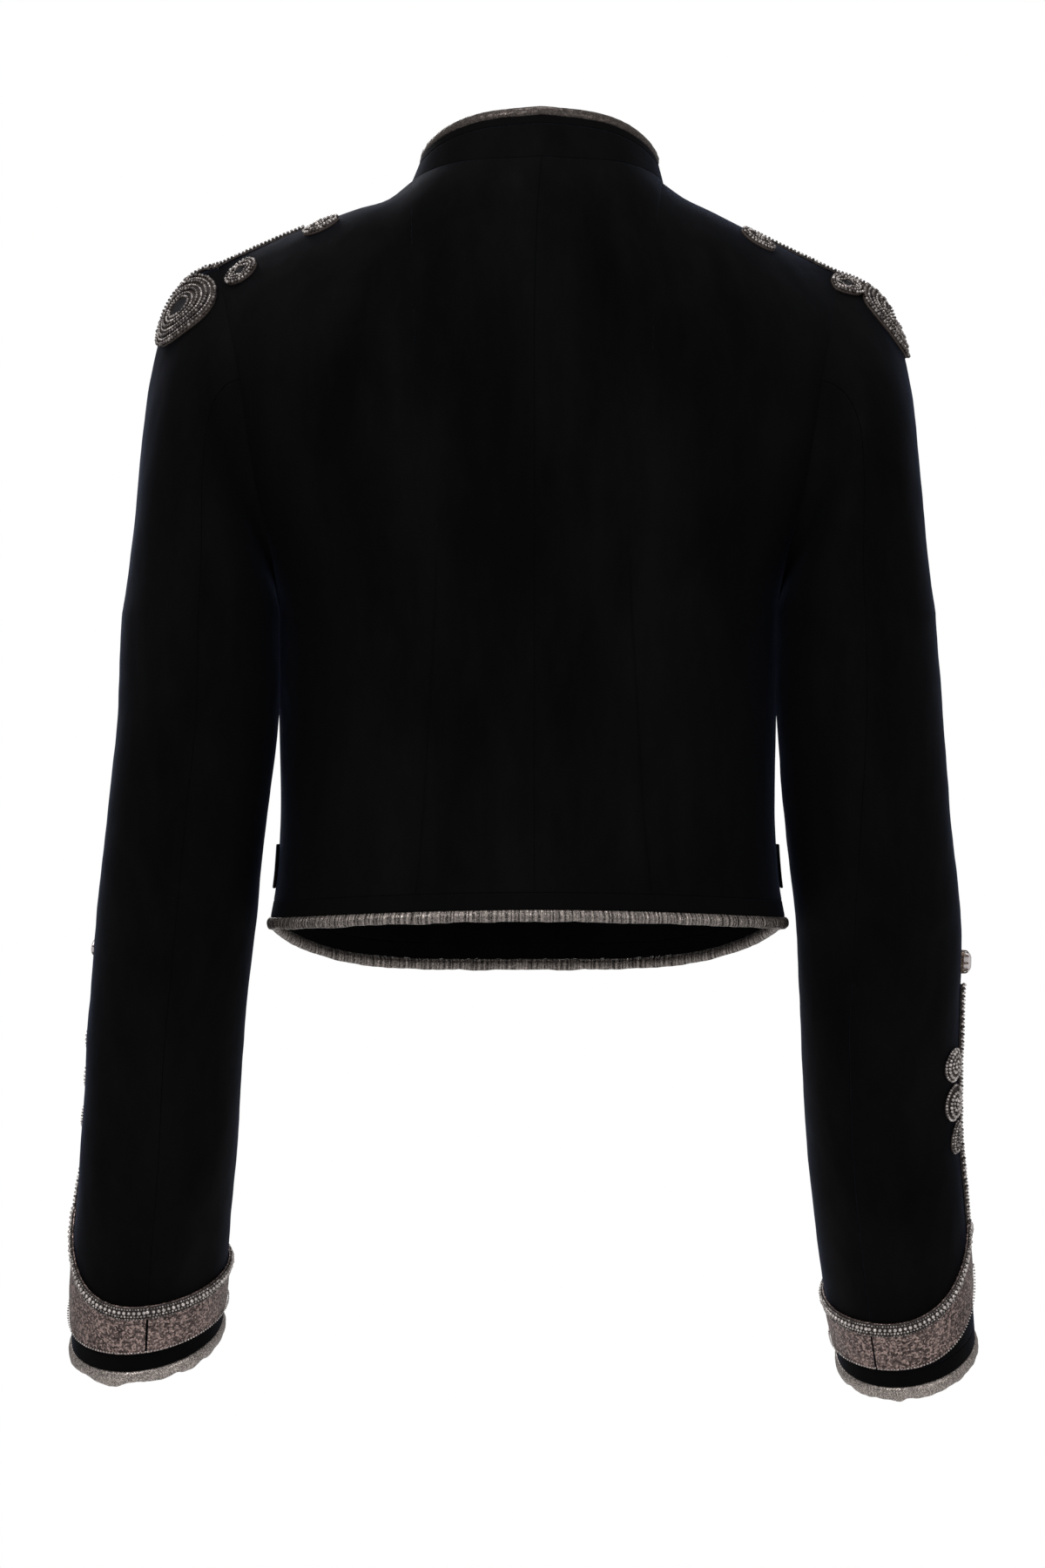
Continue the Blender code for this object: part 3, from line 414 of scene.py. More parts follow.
def top_line(face, f):
    """Neck curve, then shoulder seam, as x and y by fraction of the half width."""
    x = SHOULDER_X * f
    depth = NECK_BACK[0] if face == "back" else NECK_FRONT[0]
    turn = np.sqrt(np.clip(1.0 - (x / NECK_HALF) ** 2, 0.0, 1.0))
    out = np.clip((x - NECK_HALF) / (SHOULDER_X - NECK_HALF), 0.0, 1.0)
    return x, blend(NECK_SIDE_Y, depth, turn) + (SHOULDER_Y - NECK_SIDE_Y) * out


def crest_height(face, side, f):
    """Height at which the cloth turns over the shoulder, and would turn inside the neck."""
    out = np.clip((SHOULDER_X * f - NECK_HALF) / (SHOULDER_X - NECK_HALF), 0.0, 1.0)
    within = np.clip(f / NECK_COLUMN, 0.0, 1.0)
    outs = column(SHOULDER_SAGS, "out")
    left = through(outs, column(SHOULDER_SAGS, "left"), out)
    right = through(outs, column(SHOULDER_SAGS, "right"), out)
    sag = np.where(np.asarray(side) > 0, left, right)
    crest = NECK_BACK[1] if face == "back" else NECK_FRONT[1]
    return crest * (1.0 - within ** NECK_POWER) + SHOULDER_Z * out - sag


def neck_share(f):
    """How far the neck's small sideways shift reaches along the shoulder."""
    return 1.0 - ease((f - NECK_COLUMN) / (1.0 - NECK_COLUMN))


def dart_column(z):
    """Fraction of the half width where the back dart runs."""
    (z0, f0), (z1, f1) = DART_TOP, DART_LOW
    return blend(f0, f1, (z - z0) / (z1 - z0))


def body_at(face, side, f, level):
    """Middle of the cloth: level 0 hem, 1 underarm, 2 yoke, 3 neck and shoulder."""
    f, level = np.broadcast_arrays(np.asarray(f, float), np.asarray(level, float))
    low = blend(hem_height(face, f), UNDERARM, level)
    z = np.where(level <= 1.0, low, blend(UNDERARM, YOKE, np.clip(level - 1.0, 0.0, 1.0)))
    edge = table_at(BODY_SECTIONS, "edge", z)
    half = np.maximum(table_at(BODY_SECTIONS, "half_width", z), edge)
    depth = table_at(BODY_SECTIONS, face, z)
    x = edge * f
    y = depth * np.clip(1.0 - (x / half) ** SECTION_POWER, 0.0, 1.0) ** (1.0 / SECTION_POWER)
    y = y if face == "back" else -y
    t = np.clip(level - 2.0, 0.0, 1.0)
    top_x, top_y = top_line(face, f)
    ridge = np.where(f < NECK_COLUMN, NECK_SIDE_Y, top_y)
    reach = np.sqrt(np.clip(1.0 - (top_y - ridge) / (y - ridge), 0.0, 1.0))
    bend = 1.0 + SHOULDER_BEND * (1.0 - f ** 2)
    climb = 1.0 - np.clip(1.0 - t * reach, 0.0, 1.0) ** bend
    x = np.where(level > 2.0, blend(YOKE_EDGE * f, top_x, t), x)
    y = np.where(level > 2.0, ridge + (y - ridge) * (1.0 - (t * reach) ** 2), y)
    z = np.where(level > 2.0, blend(YOKE, crest_height(face, side, f), climb), z)
    if face == "back":
        off = (f - dart_column(z)) * edge
        pinch = 0.7 * np.exp(-(off / DART_PINCH) ** 2) + 0.6 * np.exp(-(off / DART_HOLLOW) ** 2)
        y = y - DART_DEPTH * pinch * ease((DART_TOP[0] - z) / 0.035)
    x = x * side + NECK_SHIFT * neck_share(f) * t * t
    if face == "back":
        mask = (1.0 - f ** 10) * ease(f / 0.12) * ease((3.0 - level) / 0.25)
        y = y + fold_height(BACK_FOLDS, x, z) * mask
    return np.stack([x, y, z], axis=-1)


def ring_at(which, angle, height):
    """A point of the sleeve below the bicep; angle 0 inside, 90 back, 180 outside."""
    spec = SLEEVE_SIDE[which]
    centre = table_at(SLEEVE_SECTIONS, which, height)
    half = table_at(SLEEVE_SECTIONS, "half_" + which, height)
    depth = table_at(SLEEVE_SECTIONS, "half_depth", height)
    tilt = np.tan(np.radians(table_at(SLEEVE_SECTIONS, "tilt", height)))
    twist = spec.twist * ease((height - TWIST_FROM) / (TWIST_TO - TWIST_FROM))
    turn = np.radians(angle - twist)
    out, back = -np.cos(turn), np.sin(turn)
    rise = spec.side_rise * ease((height + 0.47) / (spec.end + 0.47))
    x = centre + half * out
    y = table_at(SLEEVE_SECTIONS, "y", height) + depth * back
    z = height - depth * back * tilt + rise * half * out
    puff = fold_height(SLEEVE_FOLDS, spec.sign * x, z) * ease(back / 0.4)
    return np.stack([spec.sign * (x + puff * out), y + puff * back, z], axis=-1)


def armhole_at(which, turn):
    """Armhole edge: turn 0 underarm, 0.5 shoulder, 1 underarm again, back first."""
    sign = SLEEVE_SIDE[which].sign
    up = 1.0 - np.abs(1.0 - 2.0 * turn)
    level = np.interp(up, np.linspace(0.0, 1.0, len(ARM_STATIONS)), ARM_STATIONS)
    back = body_at("back", sign, np.ones_like(turn), level)
    front = body_at("front", sign, np.ones_like(turn), level)
    return np.where((turn <= 0.5)[..., None], back, front)


def sleeve_at(which, turn, level):
    """Middle of the sleeve cloth: level 0 armhole, 1 bicep, then on to 2 at the cuff end."""
    turn, level = np.broadcast_arrays(np.asarray(turn, float) % 1.0, np.asarray(level, float))
    spec = SLEEVE_SIDE[which]
    angle = 360.0 * turn
    height = blend(BICEP, spec.end, np.clip(level - 1.0, 0.0, 1.1))
    arm = ring_at(which, angle, height)
    start = armhole_at(which, turn)
    stop = ring_at(which, angle, np.full_like(turn, BICEP))
    chord = np.linalg.norm(stop - start, axis=-1)[..., None]
    upper = (0.5 - 0.5 * np.cos(np.radians(angle)))[..., None]
    leave = (blend(0.98, 0.985, upper), 0 * upper, blend(-0.20, -0.145, upper))
    arrive = (blend(0.02, 0.19, upper), 0 * upper, blend(-1.0, -0.98, upper))
    flip = np.array((spec.sign, 1.0, 1.0))
    leave = np.concatenate(leave, axis=-1) * flip * chord * spec.cap_leave
    arrive = np.concatenate(arrive, axis=-1) * flip * chord * CAP_ARRIVE
    t = np.clip(level, 0.0, 1.0)[..., None]
    cap = hermite(start, leave, stop, arrive, t)
    out = (-np.cos(np.radians(angle)))[..., None]
    back = np.sin(np.radians(angle))[..., None]
    puff = fold_height(SLEEVE_FOLDS, cap[..., 0], cap[..., 2])[..., None] * ease(back / 0.4)
    puff = puff * ease(t / 0.25) * (1.0 - ease(t))
    push = np.concatenate([spec.sign * out, back, 0.0 * out], axis=-1) * puff
    return np.where((level <= 1.0)[..., None], cap + push, arm)


def collar_at(side, face, f, rise):
    """Middle of the collar cloth; rise 0 at the neck seam, 1 at the top edge."""
    base = body_at(face, side, f, 3.0)
    depth = (NECK_BACK if face == "back" else NECK_FRONT)[0]
    around = np.clip((base[..., 1] - NECK_SIDE_Y) / (depth - NECK_SIDE_Y), 0.0, 1.0)
    tall = blend(COLLAR_SIDE, COLLAR_BACK if face == "back" else COLLAR_FRONT, around)
    inward = unit(np.stack([NECK_SHIFT - base[..., 0], -(base[..., 1] - NECK_SIDE_Y), 0 * tall], axis=-1))
    lean = blend(COLLAR_LEAN["side"], COLLAR_LEAN["back"], around)
    lean = lean + np.where(np.asarray(side) > 0, COLLAR_LEAN["left_side"] * (1.0 - around) ** 3, 0.0)
    move = inward * lean[..., None] + np.array((0.0, -0.04, 0.965))
    return base + move * (tall * rise)[..., None]


def spaced(low, high, count, edge):
    """Even steps with closer ones next to both ends, where edge is the step of a millimetre."""
    close = np.array((0.25, 0.6, 1.1, 1.8)) * edge
    even = np.linspace(low, high, count + 1)
    inner = even[(even > low + 1.3 * close[-1]) & (even < high - 1.3 * close[-1])]
    return np.concatenate([[low], low + close, inner, high - close[::-1], [high]])


def grid_normals(points, ring, inside):
    """Unit normals of a grid, by differences of its neighbours, away from the hollow."""
    rows = np.gradient(points, axis=0)
    cols = np.gradient(points, axis=1)
    if ring:
        cols = np.roll(points, -1, axis=1) - np.roll(points, 1, axis=1)
    normal = unit(np.cross(cols, rows))
    return normal * np.sign(np.sum((points - inside) * normal))


def edge_distance(points, ring):
    """Distance along the cloth from each point to the nearest open edge."""
    nearest = None
    for axis in (0,) if ring else (0, 1):
        step = np.linalg.norm(np.diff(points, axis=axis), axis=-1)
        run = np.insert(np.cumsum(step, axis=axis), 0, 0.0, axis=axis)
        whole = np.take(run, [-1], axis=axis)
        here = np.minimum(run, whole - run)
        nearest = here if nearest is None else np.minimum(nearest, here)
    return nearest


def ripple(points, size, depth):
    """Smooth seeded noise over the points, in metres."""
    flat = points.reshape(-1, 3) / size
    values = [noise.noise(Vector(p)) for p in flat]
    return np.array(values).reshape(points.shape[:-1]) * depth


def add_object(name, verts, faces, material, slot, nodes=(), **marks):
    """A smooth mesh piece that rides on the jacket, with named marks for each point where given."""
    mesh = bpy.data.meshes.new(name)
    mesh.from_pydata(np.asarray(verts).tolist(), [], [list(f) for f in faces])
    mesh.update()
    mesh.polygons.foreach_set("use_smooth", np.ones(len(mesh.polygons), dtype=bool))
    for mark, values in marks.items():
        layer = mesh.attributes.new(mark, "FLOAT", "POINT")
        layer.data.foreach_set("value", np.asarray(values, dtype=np.float32))
    mesh.materials.append(material)
    made = bpy.data.objects.new(name, mesh)
    bpy.context.scene.collection.objects.link(made)
    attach(made, "root")
    if nodes:
        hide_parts(*nodes)
    return made


def wall_faces(rows, cols, ring, flip):
    """Faces of two like grids and the rims between them."""
    r = np.arange(rows - 1)[:, None]
    c = np.arange(cols if ring else cols - 1)[None, :]
    a = r * cols + c
    b = r * cols + (c + 1) % cols
    skin = np.stack([a, b, b + cols, a + cols], axis=-1).reshape(-1, 4)
    n = rows * cols
    first, last = a[0], a[-1] + cols
    first_next, last_next = b[0], b[-1] + cols
    parts = [
        skin,
        skin[:, ::-1] + n,
        np.stack([first_next, first, first + n, first_next + n], axis=-1),
        np.stack([last, last_next, last_next + n, last + n], axis=-1),
    ]
    if not ring:
        left, right = a[:, 0], b[:, -1]
        parts.append(np.stack([left, left + cols, left + cols + n, left + n], axis=-1))
        parts.append(np.stack([right + cols, right, right + n, right + cols + n], axis=-1))
    faces = np.concatenate(parts)
    return faces[:, ::-1] if flip else faces


def faces_in(grid, normals):
    """Whether a grid's faces, taken row by row, would point against its normals."""
    i, j = grid.shape[0] // 2, grid.shape[1] // 2
    across = np.cross(grid[i, j + 1] - grid[i, j], grid[i + 1, j] - grid[i, j])
    return np.dot(across, normals[i, j]) < 0


def add_strip(name, grid, normals, high, low, material, slot, ring, **marks):
    """A thin strip of sewing on a grid of cloth points, raised by high and let in by low."""
    rows, cols = grid.shape[:2]
    skins = [grid + normals * high[:, None, None], grid - normals * low]
    verts = np.concatenate([skin.reshape(-1, 3) for skin in skins])
    faces = wall_faces(rows, cols, ring, faces_in(grid, normals))
    add_object(name, verts, faces, material, slot, **marks)


def row_at(shares, grid, share):
    """Row of a grid at a share of its height that differs from column to column."""
    at = np.clip(np.interp(share, shares, np.arange(len(shares))), 0.0, len(shares) - 1.001)
    low = at.astype(int)
    columns = np.arange(grid.shape[1])
    return blend(grid[low, columns], grid[low + 1, columns], (at - low)[:, None])


def add_wall(name, points, inside, material, slot, node, ring=False, wall=WALL, rise=0.0, keep=True):
    """A wall of cloth with rounded edges on both sides of a grid of points."""
    normals = grid_normals(points, ring, inside)
    edge = edge_distance(points, ring)
    lift = sum(ripple(points, *row) for row in RIPPLES) * ease(edge / RIPPLE_CLEAR)
    round_off = np.clip(edge / EDGE_ROUND, 0.0, 1.0)
    round_off = blend(EDGE_THIN, 1.0, np.sqrt(1.0 - (1.0 - round_off) ** 2))
    middle = points + normals * (lift + rise)[..., None]
    half = normals * (round_off * wall / 2)[..., None]
    outer, inner = middle + half, middle - half
    rows, cols = points.shape[:2]
    flip = faces_in(outer, normals)
    verts = np.concatenate([outer.reshape(-1, 3), inner.reshape(-1, 3)])
    made = add_object(name, verts, wall_faces(rows, cols, ring, flip), material, slot, (node,))
    if keep:
        CLOTH[node] = (outer, flip, ring)
    return outer, normals


def tube_faces(count, around, closed, flip):
    """Faces of a tube of rings, with caps where it is open."""
    i = np.arange(count if closed else count - 1)[:, None]
    j = np.arange(around)[None, :]
    a, b = i * around + j, i * around + (j + 1) % around
    n = ((i + 1) % count) * around + j
    m = ((i + 1) % count) * around + (j + 1) % around
    faces = np.stack([a, b, m, n], axis=-1).reshape(-1, 4)
    faces = [list(f[::-1]) if flip else list(f) for f in faces]
    if not closed:
        low, high = list(range(around)), list(range((count - 1) * around, count * around))
        faces += [low, high[::-1]] if flip else [low[::-1], high]
    return faces


def add_roll(node, centres, normals, ways, tall, thick, gather, wave, material, slot, closed):
    """A padded binding: an oval roll along an edge, gathered so that it puckers."""
    run = run_along(centres)
    verts = []
    for p, n, w, s in zip(centres, normals, ways, run):
        key = Vector(p) if closed else Vector((s, 0.0, 0.37))
        crimp = noise.noise(key / PUCKER_LARGE) * 0.75 + noise.noise(key / PUCKER_SMALL) * 0.35
        sway = noise.noise(key / SWAY_LARGE) + 0.5 * noise.noise(key / SWAY_SMALL)
        for t in np.linspace(0.0, 2 * math.pi, ROLL_AROUND, endpoint=False):
            c, z = math.cos(t), math.sin(t)
            fine = noise.noise(key / PUCKER_FINE + Vector((3.0 + c, 5.0 + z, 1.0))) * 0.55
            lower = 0.5 - 0.5 * c
            grow = 1.0 + gather * (crimp * (0.35 + 0.65 * abs(z)) + fine)
            high = w * (tall / 2) * c * (1.0 + 0.25 * gather * fine)
            wide = n * (thick / 2) * math.copysign(abs(z) ** 0.85, z) * grow
            verts.append(p + high + wide - w * (wave * sway * lower * lower))
    flip = np.dot(np.cross(centres[1] - centres[0], normals[0]), ways[0]) > 0
    faces = tube_faces(len(centres), ROLL_AROUND, closed, flip)
    marks = np.repeat(run, ROLL_AROUND)
    add_object(f"trim_{node}", verts, faces, material, slot, (node,), run=marks)


def skin_tree():
    """Search tree over the outer faces of the cloth made so far."""
    verts, faces = [], []
    for outer, flip, ring in CLOTH.values():
        start = len(verts)
        rows, cols = outer.shape[:2]
        verts += outer.reshape(-1, 3).tolist()
        quads = wall_faces(rows, cols, ring, flip)[: (rows - 1) * (cols if ring else cols - 1)]
        faces += (quads + start).tolist()
    return BVHTree.FromPolygons(verts, faces)


def near(tree, place):
    """Nearest point of the cloth's outer face, with its normal."""
    found = tree.find_nearest(Vector(place))
    return np.array(found[0]), np.array(found[1])


def lay_on(tree, places):
    """Places and normals on the cloth, the normals smoothed along the row."""
    hits = [near(tree, p) for p in places]
    spots = np.array([h[0] for h in hits])
    normals = np.array([h[1] for h in hits])
    if len(normals) > 4:
        padded = np.concatenate([normals[:1]] * 2 + [normals] + [normals[-1:]] * 2)
        normals = unit(sum(padded[k : k + len(normals)] for k in range(5)))
    return spots, normals


def even_places(points, pitch, closed):
    """Points at an even pitch along a line."""
    line = np.concatenate([points, points[:1]]) if closed else points
    run = run_along(line)
    count = max(2, int(round(run[-1] / pitch)))
    marks = np.linspace(0.0, run[-1], count, endpoint=not closed)
    return np.stack([np.interp(marks, run, line[:, k]) for k in range(3)], axis=-1)


def beside(line, normals, places):
    """Normals of a line at its points nearest to some places."""
    return normals[[int(np.argmin(np.linalg.norm(line - p, axis=-1))) for p in places]]


def bead_shape():
    """One round bead of a few faces, as points and faces."""
    around = 6
    verts = [(0.0, 0.0, -1.0)]
    for tilt in (-45.0, 0.0, 45.0):
        for k in range(around):
            t = 2 * math.pi * k / around
            c = math.cos(math.radians(tilt))
            verts.append((c * math.cos(t), c * math.sin(t), math.sin(math.radians(tilt))))
    verts.append((0.0, 0.0, 1.0))
    faces = []
    for k in range(around):
        n = (k + 1) % around
        faces.append((0, 1 + n, 1 + k))
        for row in (1, 1 + around):
            faces.append((row + k, row + n, row + around + n, row + around + k))
        faces.append((1 + 2 * around + k, 1 + 2 * around + n, len(verts) - 1))
    return np.array(verts), faces


BEAD_POINTS, BEAD_FACES = bead_shape()


class Tray:
    """Collects beads for one piece."""

    def __init__(self, seed):
        self.verts, self.faces, self.tones = [], [], []
        self.random = np.random.default_rng(seed)

    def add(self, places, normals, radius, tone=(0.0, 1.0)):
        for p, n in zip(places, normals):
            first = unit(np.cross(n, (0.31, 0.52, 0.80)))
            second = np.cross(n, first)
            size = radius * self.random.uniform(0.90, 1.08)
            turn = self.random.uniform(0.0, math.pi / 3)
            c, s = math.cos(turn), math.sin(turn)
            local = BEAD_POINTS * size
            x = local[:, 0] * c - local[:, 1] * s
            y = local[:, 0] * s + local[:, 1] * c
            start = len(self.verts)
            spots = p + n * size * 0.72 + x[:, None] * first + y[:, None] * second + local[:, 2:] * n
            self.verts.extend(spots)
            self.faces.extend([tuple(start + k for k in f) for f in BEAD_FACES])
            self.tones.extend([blend(*tone, self.random.random() ** 1.7)] * len(spots))

    def lay(self, tree, centre, ways, line, closed, high, radius, tone):
        """A row of beads along a flat line round a centre, laid on the cloth and raised."""
        spots = lay_on(tree, [centre + ways[0] * a + ways[1] * b for a, b in line])[0]
        spots, normals = lay_on(tree, even_places(spots, BEAD_PITCH * radius, closed))
        self.add(spots + normals * high, normals, radius, tone)

    def finish(self, name):
        add_object(name, self.verts, self.faces, bead_finish(), "beadwork", tone=self.tones)


def local_frame(normal, along):
    """Two ways across a normal, the first led by another direction."""
    first = unit(along - normal * np.dot(along, normal))
    return first, np.cross(normal, first)


def oval(half_long, half_short, around, taper=MOTIF_TAPER):
    """Outline of an oval whose far end narrows."""
    t = np.linspace(0.0, 2 * math.pi, around, endpoint=False)
    return np.stack([half_long * np.cos(t), half_short * np.sin(t) * (1.0 - taper * np.cos(t))], axis=-1)


def pad_height(share):
    """Height of a raised motif from its middle to its edge, as a part of its full height."""
    return 0.35 + 0.65 * np.sqrt(np.clip(1.0 - share ** 4, 0.0, 1.0))


def add_pad(node, tree, centre, normal, along, outline, dark, lay, tall):
    """Raised motif of stitched thread, with fine ridges, painted shade between them, and a dark middle."""
    first, second = local_frame(normal, along)
    around, rings = len(outline), MOTIF_RINGS
    verts, tones = [], []
    for layer in (1.0, 0.0):
        hub = near(tree, centre)[0]
        verts.append(hub + normal * (lay + tall * 0.55 * layer))
        tones.append(0.0)
        for k in range(1, rings + 1):
            share = k / rings
            wave = math.cos(share * 2 * math.pi * MOTIF_RIDGES)
            ridge = 0.90 + 0.10 * wave
            for a, b in outline:
                hit, out = near(tree, centre + (first * a + second * b) * share)
                out = unit(out * 0.5 + normal * 0.5)
                high = lay + tall * 0.8 * pad_height(share) * ridge * (0.6 if share < dark else 1.0)
                verts.append(hit + out * (high if layer else lay * 0.2))
                # Painted shade: between the ridges the tone follows their wave and darkens in the grooves;
                # the outer rim is lighter.
                stitched = 0.8 if share > 0.9 else 0.35 + 0.3 * wave
                tones.append(0.0 if share < dark else stitched)
    half = len(verts) // 2
    faces = []
    for start, turned in ((0, False), (half, True)):
        for j in range(around):
            n = (j + 1) % around
            tri = (start, start + 1 + j, start + 1 + n)
            faces.append(tri[::-1] if turned else tri)
            for k in range(rings - 1):
                a = start + 1 + k * around
                quad = (a + j, a + around + j, a + around + n, a + n)
                faces.append(quad[::-1] if turned else quad)
    edge = 1 + (rings - 1) * around
    for j in range(around):
        n = (j + 1) % around
        faces.append((edge + n, edge + j, half + edge + j, half + edge + n))
    add_object(f"thread_{node}", verts, faces, thread_finish(), "beadwork", (node,), tone=tones)


def add_cord(node, tree, path):
    """Half-round stitched cord laid on the cloth, twisted along its length, with painted shade in the
    grooves between its strands.
    """
    line = even_places(np.asarray(path, float), CORD_STEP, False)
    spots, normals = lay_on(tree, line)
    ways = unit(np.gradient(spots, axis=0))
    across = unit(np.cross(normals, ways))
    verts, tones = [], []
    for i, (p, n, a) in enumerate(zip(spots, normals, across)):
        for j in range(CORD_AROUND):
            t = 2 * math.pi * j / CORD_AROUND
            strand = math.sin(t * 2 + i * CORD_TWIST)
            up = max(0.0, math.sin(t)) * CORD_TALL * 0.65 * (1.0 + 0.10 * strand)
            down = min(0.0, math.sin(t)) * LAY * 1.3
            verts.append(p + a * CORD_HALF * math.cos(t) + n * (LAY + up + down))
            # Painted shade: the tone follows the raised strands and darkens in the grooves between them.
            tones.append(0.4 + 0.25 * strand)
    flip = np.dot(np.cross(across[0], normals[0]), ways[0]) < 0
    faces = tube_faces(len(spots), CORD_AROUND, False, flip)
    add_object(f"thread_{node}", verts, faces, thread_finish(), "beadwork", (node,), tone=tones)
    return spots, normals, across


def bead_cord(node, seed, cord, tone):
    """Three rows of beads over a cord, lighter and darker ones in turn, the darker ones painted shade
    between the twists of the rope.
    """
    spots, normals, across = cord
    size = bpy.context.scene.jacket_beads.seed_radius * CORD_BEAD
    tray = Tray(seed)
    for row in CORD_ROWS:
        line = spots + normals * (LAY + CORD_TALL * row.high) + across * (CORD_HALF * row.aside)
        places = even_places(line, 2.5 * size, False)
        out = beside(line, normals, places)
        tray.add(places[::2], out[::2], size, tone)
        # Every other bead painted darker: painted shade between the twists.
        tray.add(places[1::2], out[1::2], size, (0.0, 0.4 * tone[0] + 0.15))
    tray.finish(f"beads_{node}")


# Materials: heights of the bump on cloth and on beads and thread
CLOTH_BUMP = 0.0004
GRAIN_BUMP = 0.0003


def add_node(tree, kind, values=None, **settings):
    """New shader node with its settings, then the values of its inputs."""
    node = tree.nodes.new(kind)
    for name, value in settings.items():
        setattr(node, name, value)
    for entry, value in (values or {}).items():
        node.inputs[entry].default_value = value
    return node


def join(tree, *wires):
    """Links, each given as a node, its output, the next node and its input."""
    for source, output, target, entry in wires:
        tree.links.new(source.outputs[output], target.inputs[entry])


def new_group(name, inputs, outputs):
    """Empty shader node group with named sockets."""
    group = bpy.data.node_groups.new(name, "ShaderNodeTree")
    for kind, label, default in inputs:
        socket = group.interface.new_socket(label, in_out="INPUT", socket_type=kind)
        socket.default_value = default
    for kind, label in outputs:
        group.interface.new_socket(label, in_out="OUTPUT", socket_type=kind)
    return group, group.nodes.new("NodeGroupInput"), group.nodes.new("NodeGroupOutput")


def pile_group():
    """Velvet pile: brushed patches of nap, painted lighter as sheen where the pile catches the light, fine
    fibres and a soft height.
    """
    found = bpy.data.node_groups.get("Velvet Pile")
    if found:
        return found
    group, given, out = new_group(
        "Velvet Pile",
        (
            ("NodeSocketColor", "Dark", (0.002, 0.002, 0.004, 1.0)),
            ("NodeSocketColor", "Light", (0.008, 0.009, 0.016, 1.0)),
            ("NodeSocketFloat", "Nap Size", 18.0),
        ),
        (("NodeSocketColor", "Colour"), ("NodeSocketFloat", "Height"), ("NodeSocketFloat", "Roughness")),
    )
    place = add_node(group, "ShaderNodeTexCoord")
    brushed = add_node(group, "ShaderNodeMapping", {"Scale": (1.0, 1.0, 0.32)})
    nap = add_node(group, "ShaderNodeTexNoise", {"Detail": 5.0, "Roughness": 0.62})
    fibre = add_node(group, "ShaderNodeTexNoise", {"Scale": 1900.0, "Detail": 2.0})
    # Brushed patches of the pile; the lighter of them are painted sheen.
    tilt = add_node(group, "ShaderNodeMapRange", {"From Min": 0.36, "From Max": 0.68})
    tuft = add_node(group, "ShaderNodeMath", {1: 0.7, 2: 0.65}, operation="MULTIPLY_ADD")
    spread = add_node(group, "ShaderNodeMath", operation="MULTIPLY")
    mix = add_node(group, "ShaderNodeMix", data_type="RGBA")
    rough = add_node(group, "ShaderNodeMapRange", {"To Min": 0.95, "To Max": 0.72})
    join(
        group,
        (place, "Object", brushed, "Vector"),
        (brushed, "Vector", nap, "Vector"),
        (given, "Nap Size", nap, "Scale"),
        (place, "Object", fibre, "Vector"),
        (nap, "Fac", tilt, "Value"),
        (fibre, "Fac", tuft, 0),
        (tilt, "Result", spread, 0),
        (tuft, "Value", spread, 1),
        (spread, "Value", mix, "Factor"),
        (given, "Dark", mix, "A"),
        (given, "Light", mix, "B"),
        (spread, "Value", rough, "Value"),
        (mix, "Result", out, "Colour"),
        (fibre, "Fac", out, "Height"),
        (rough, "Result", out, "Roughness"),
    )
    return group


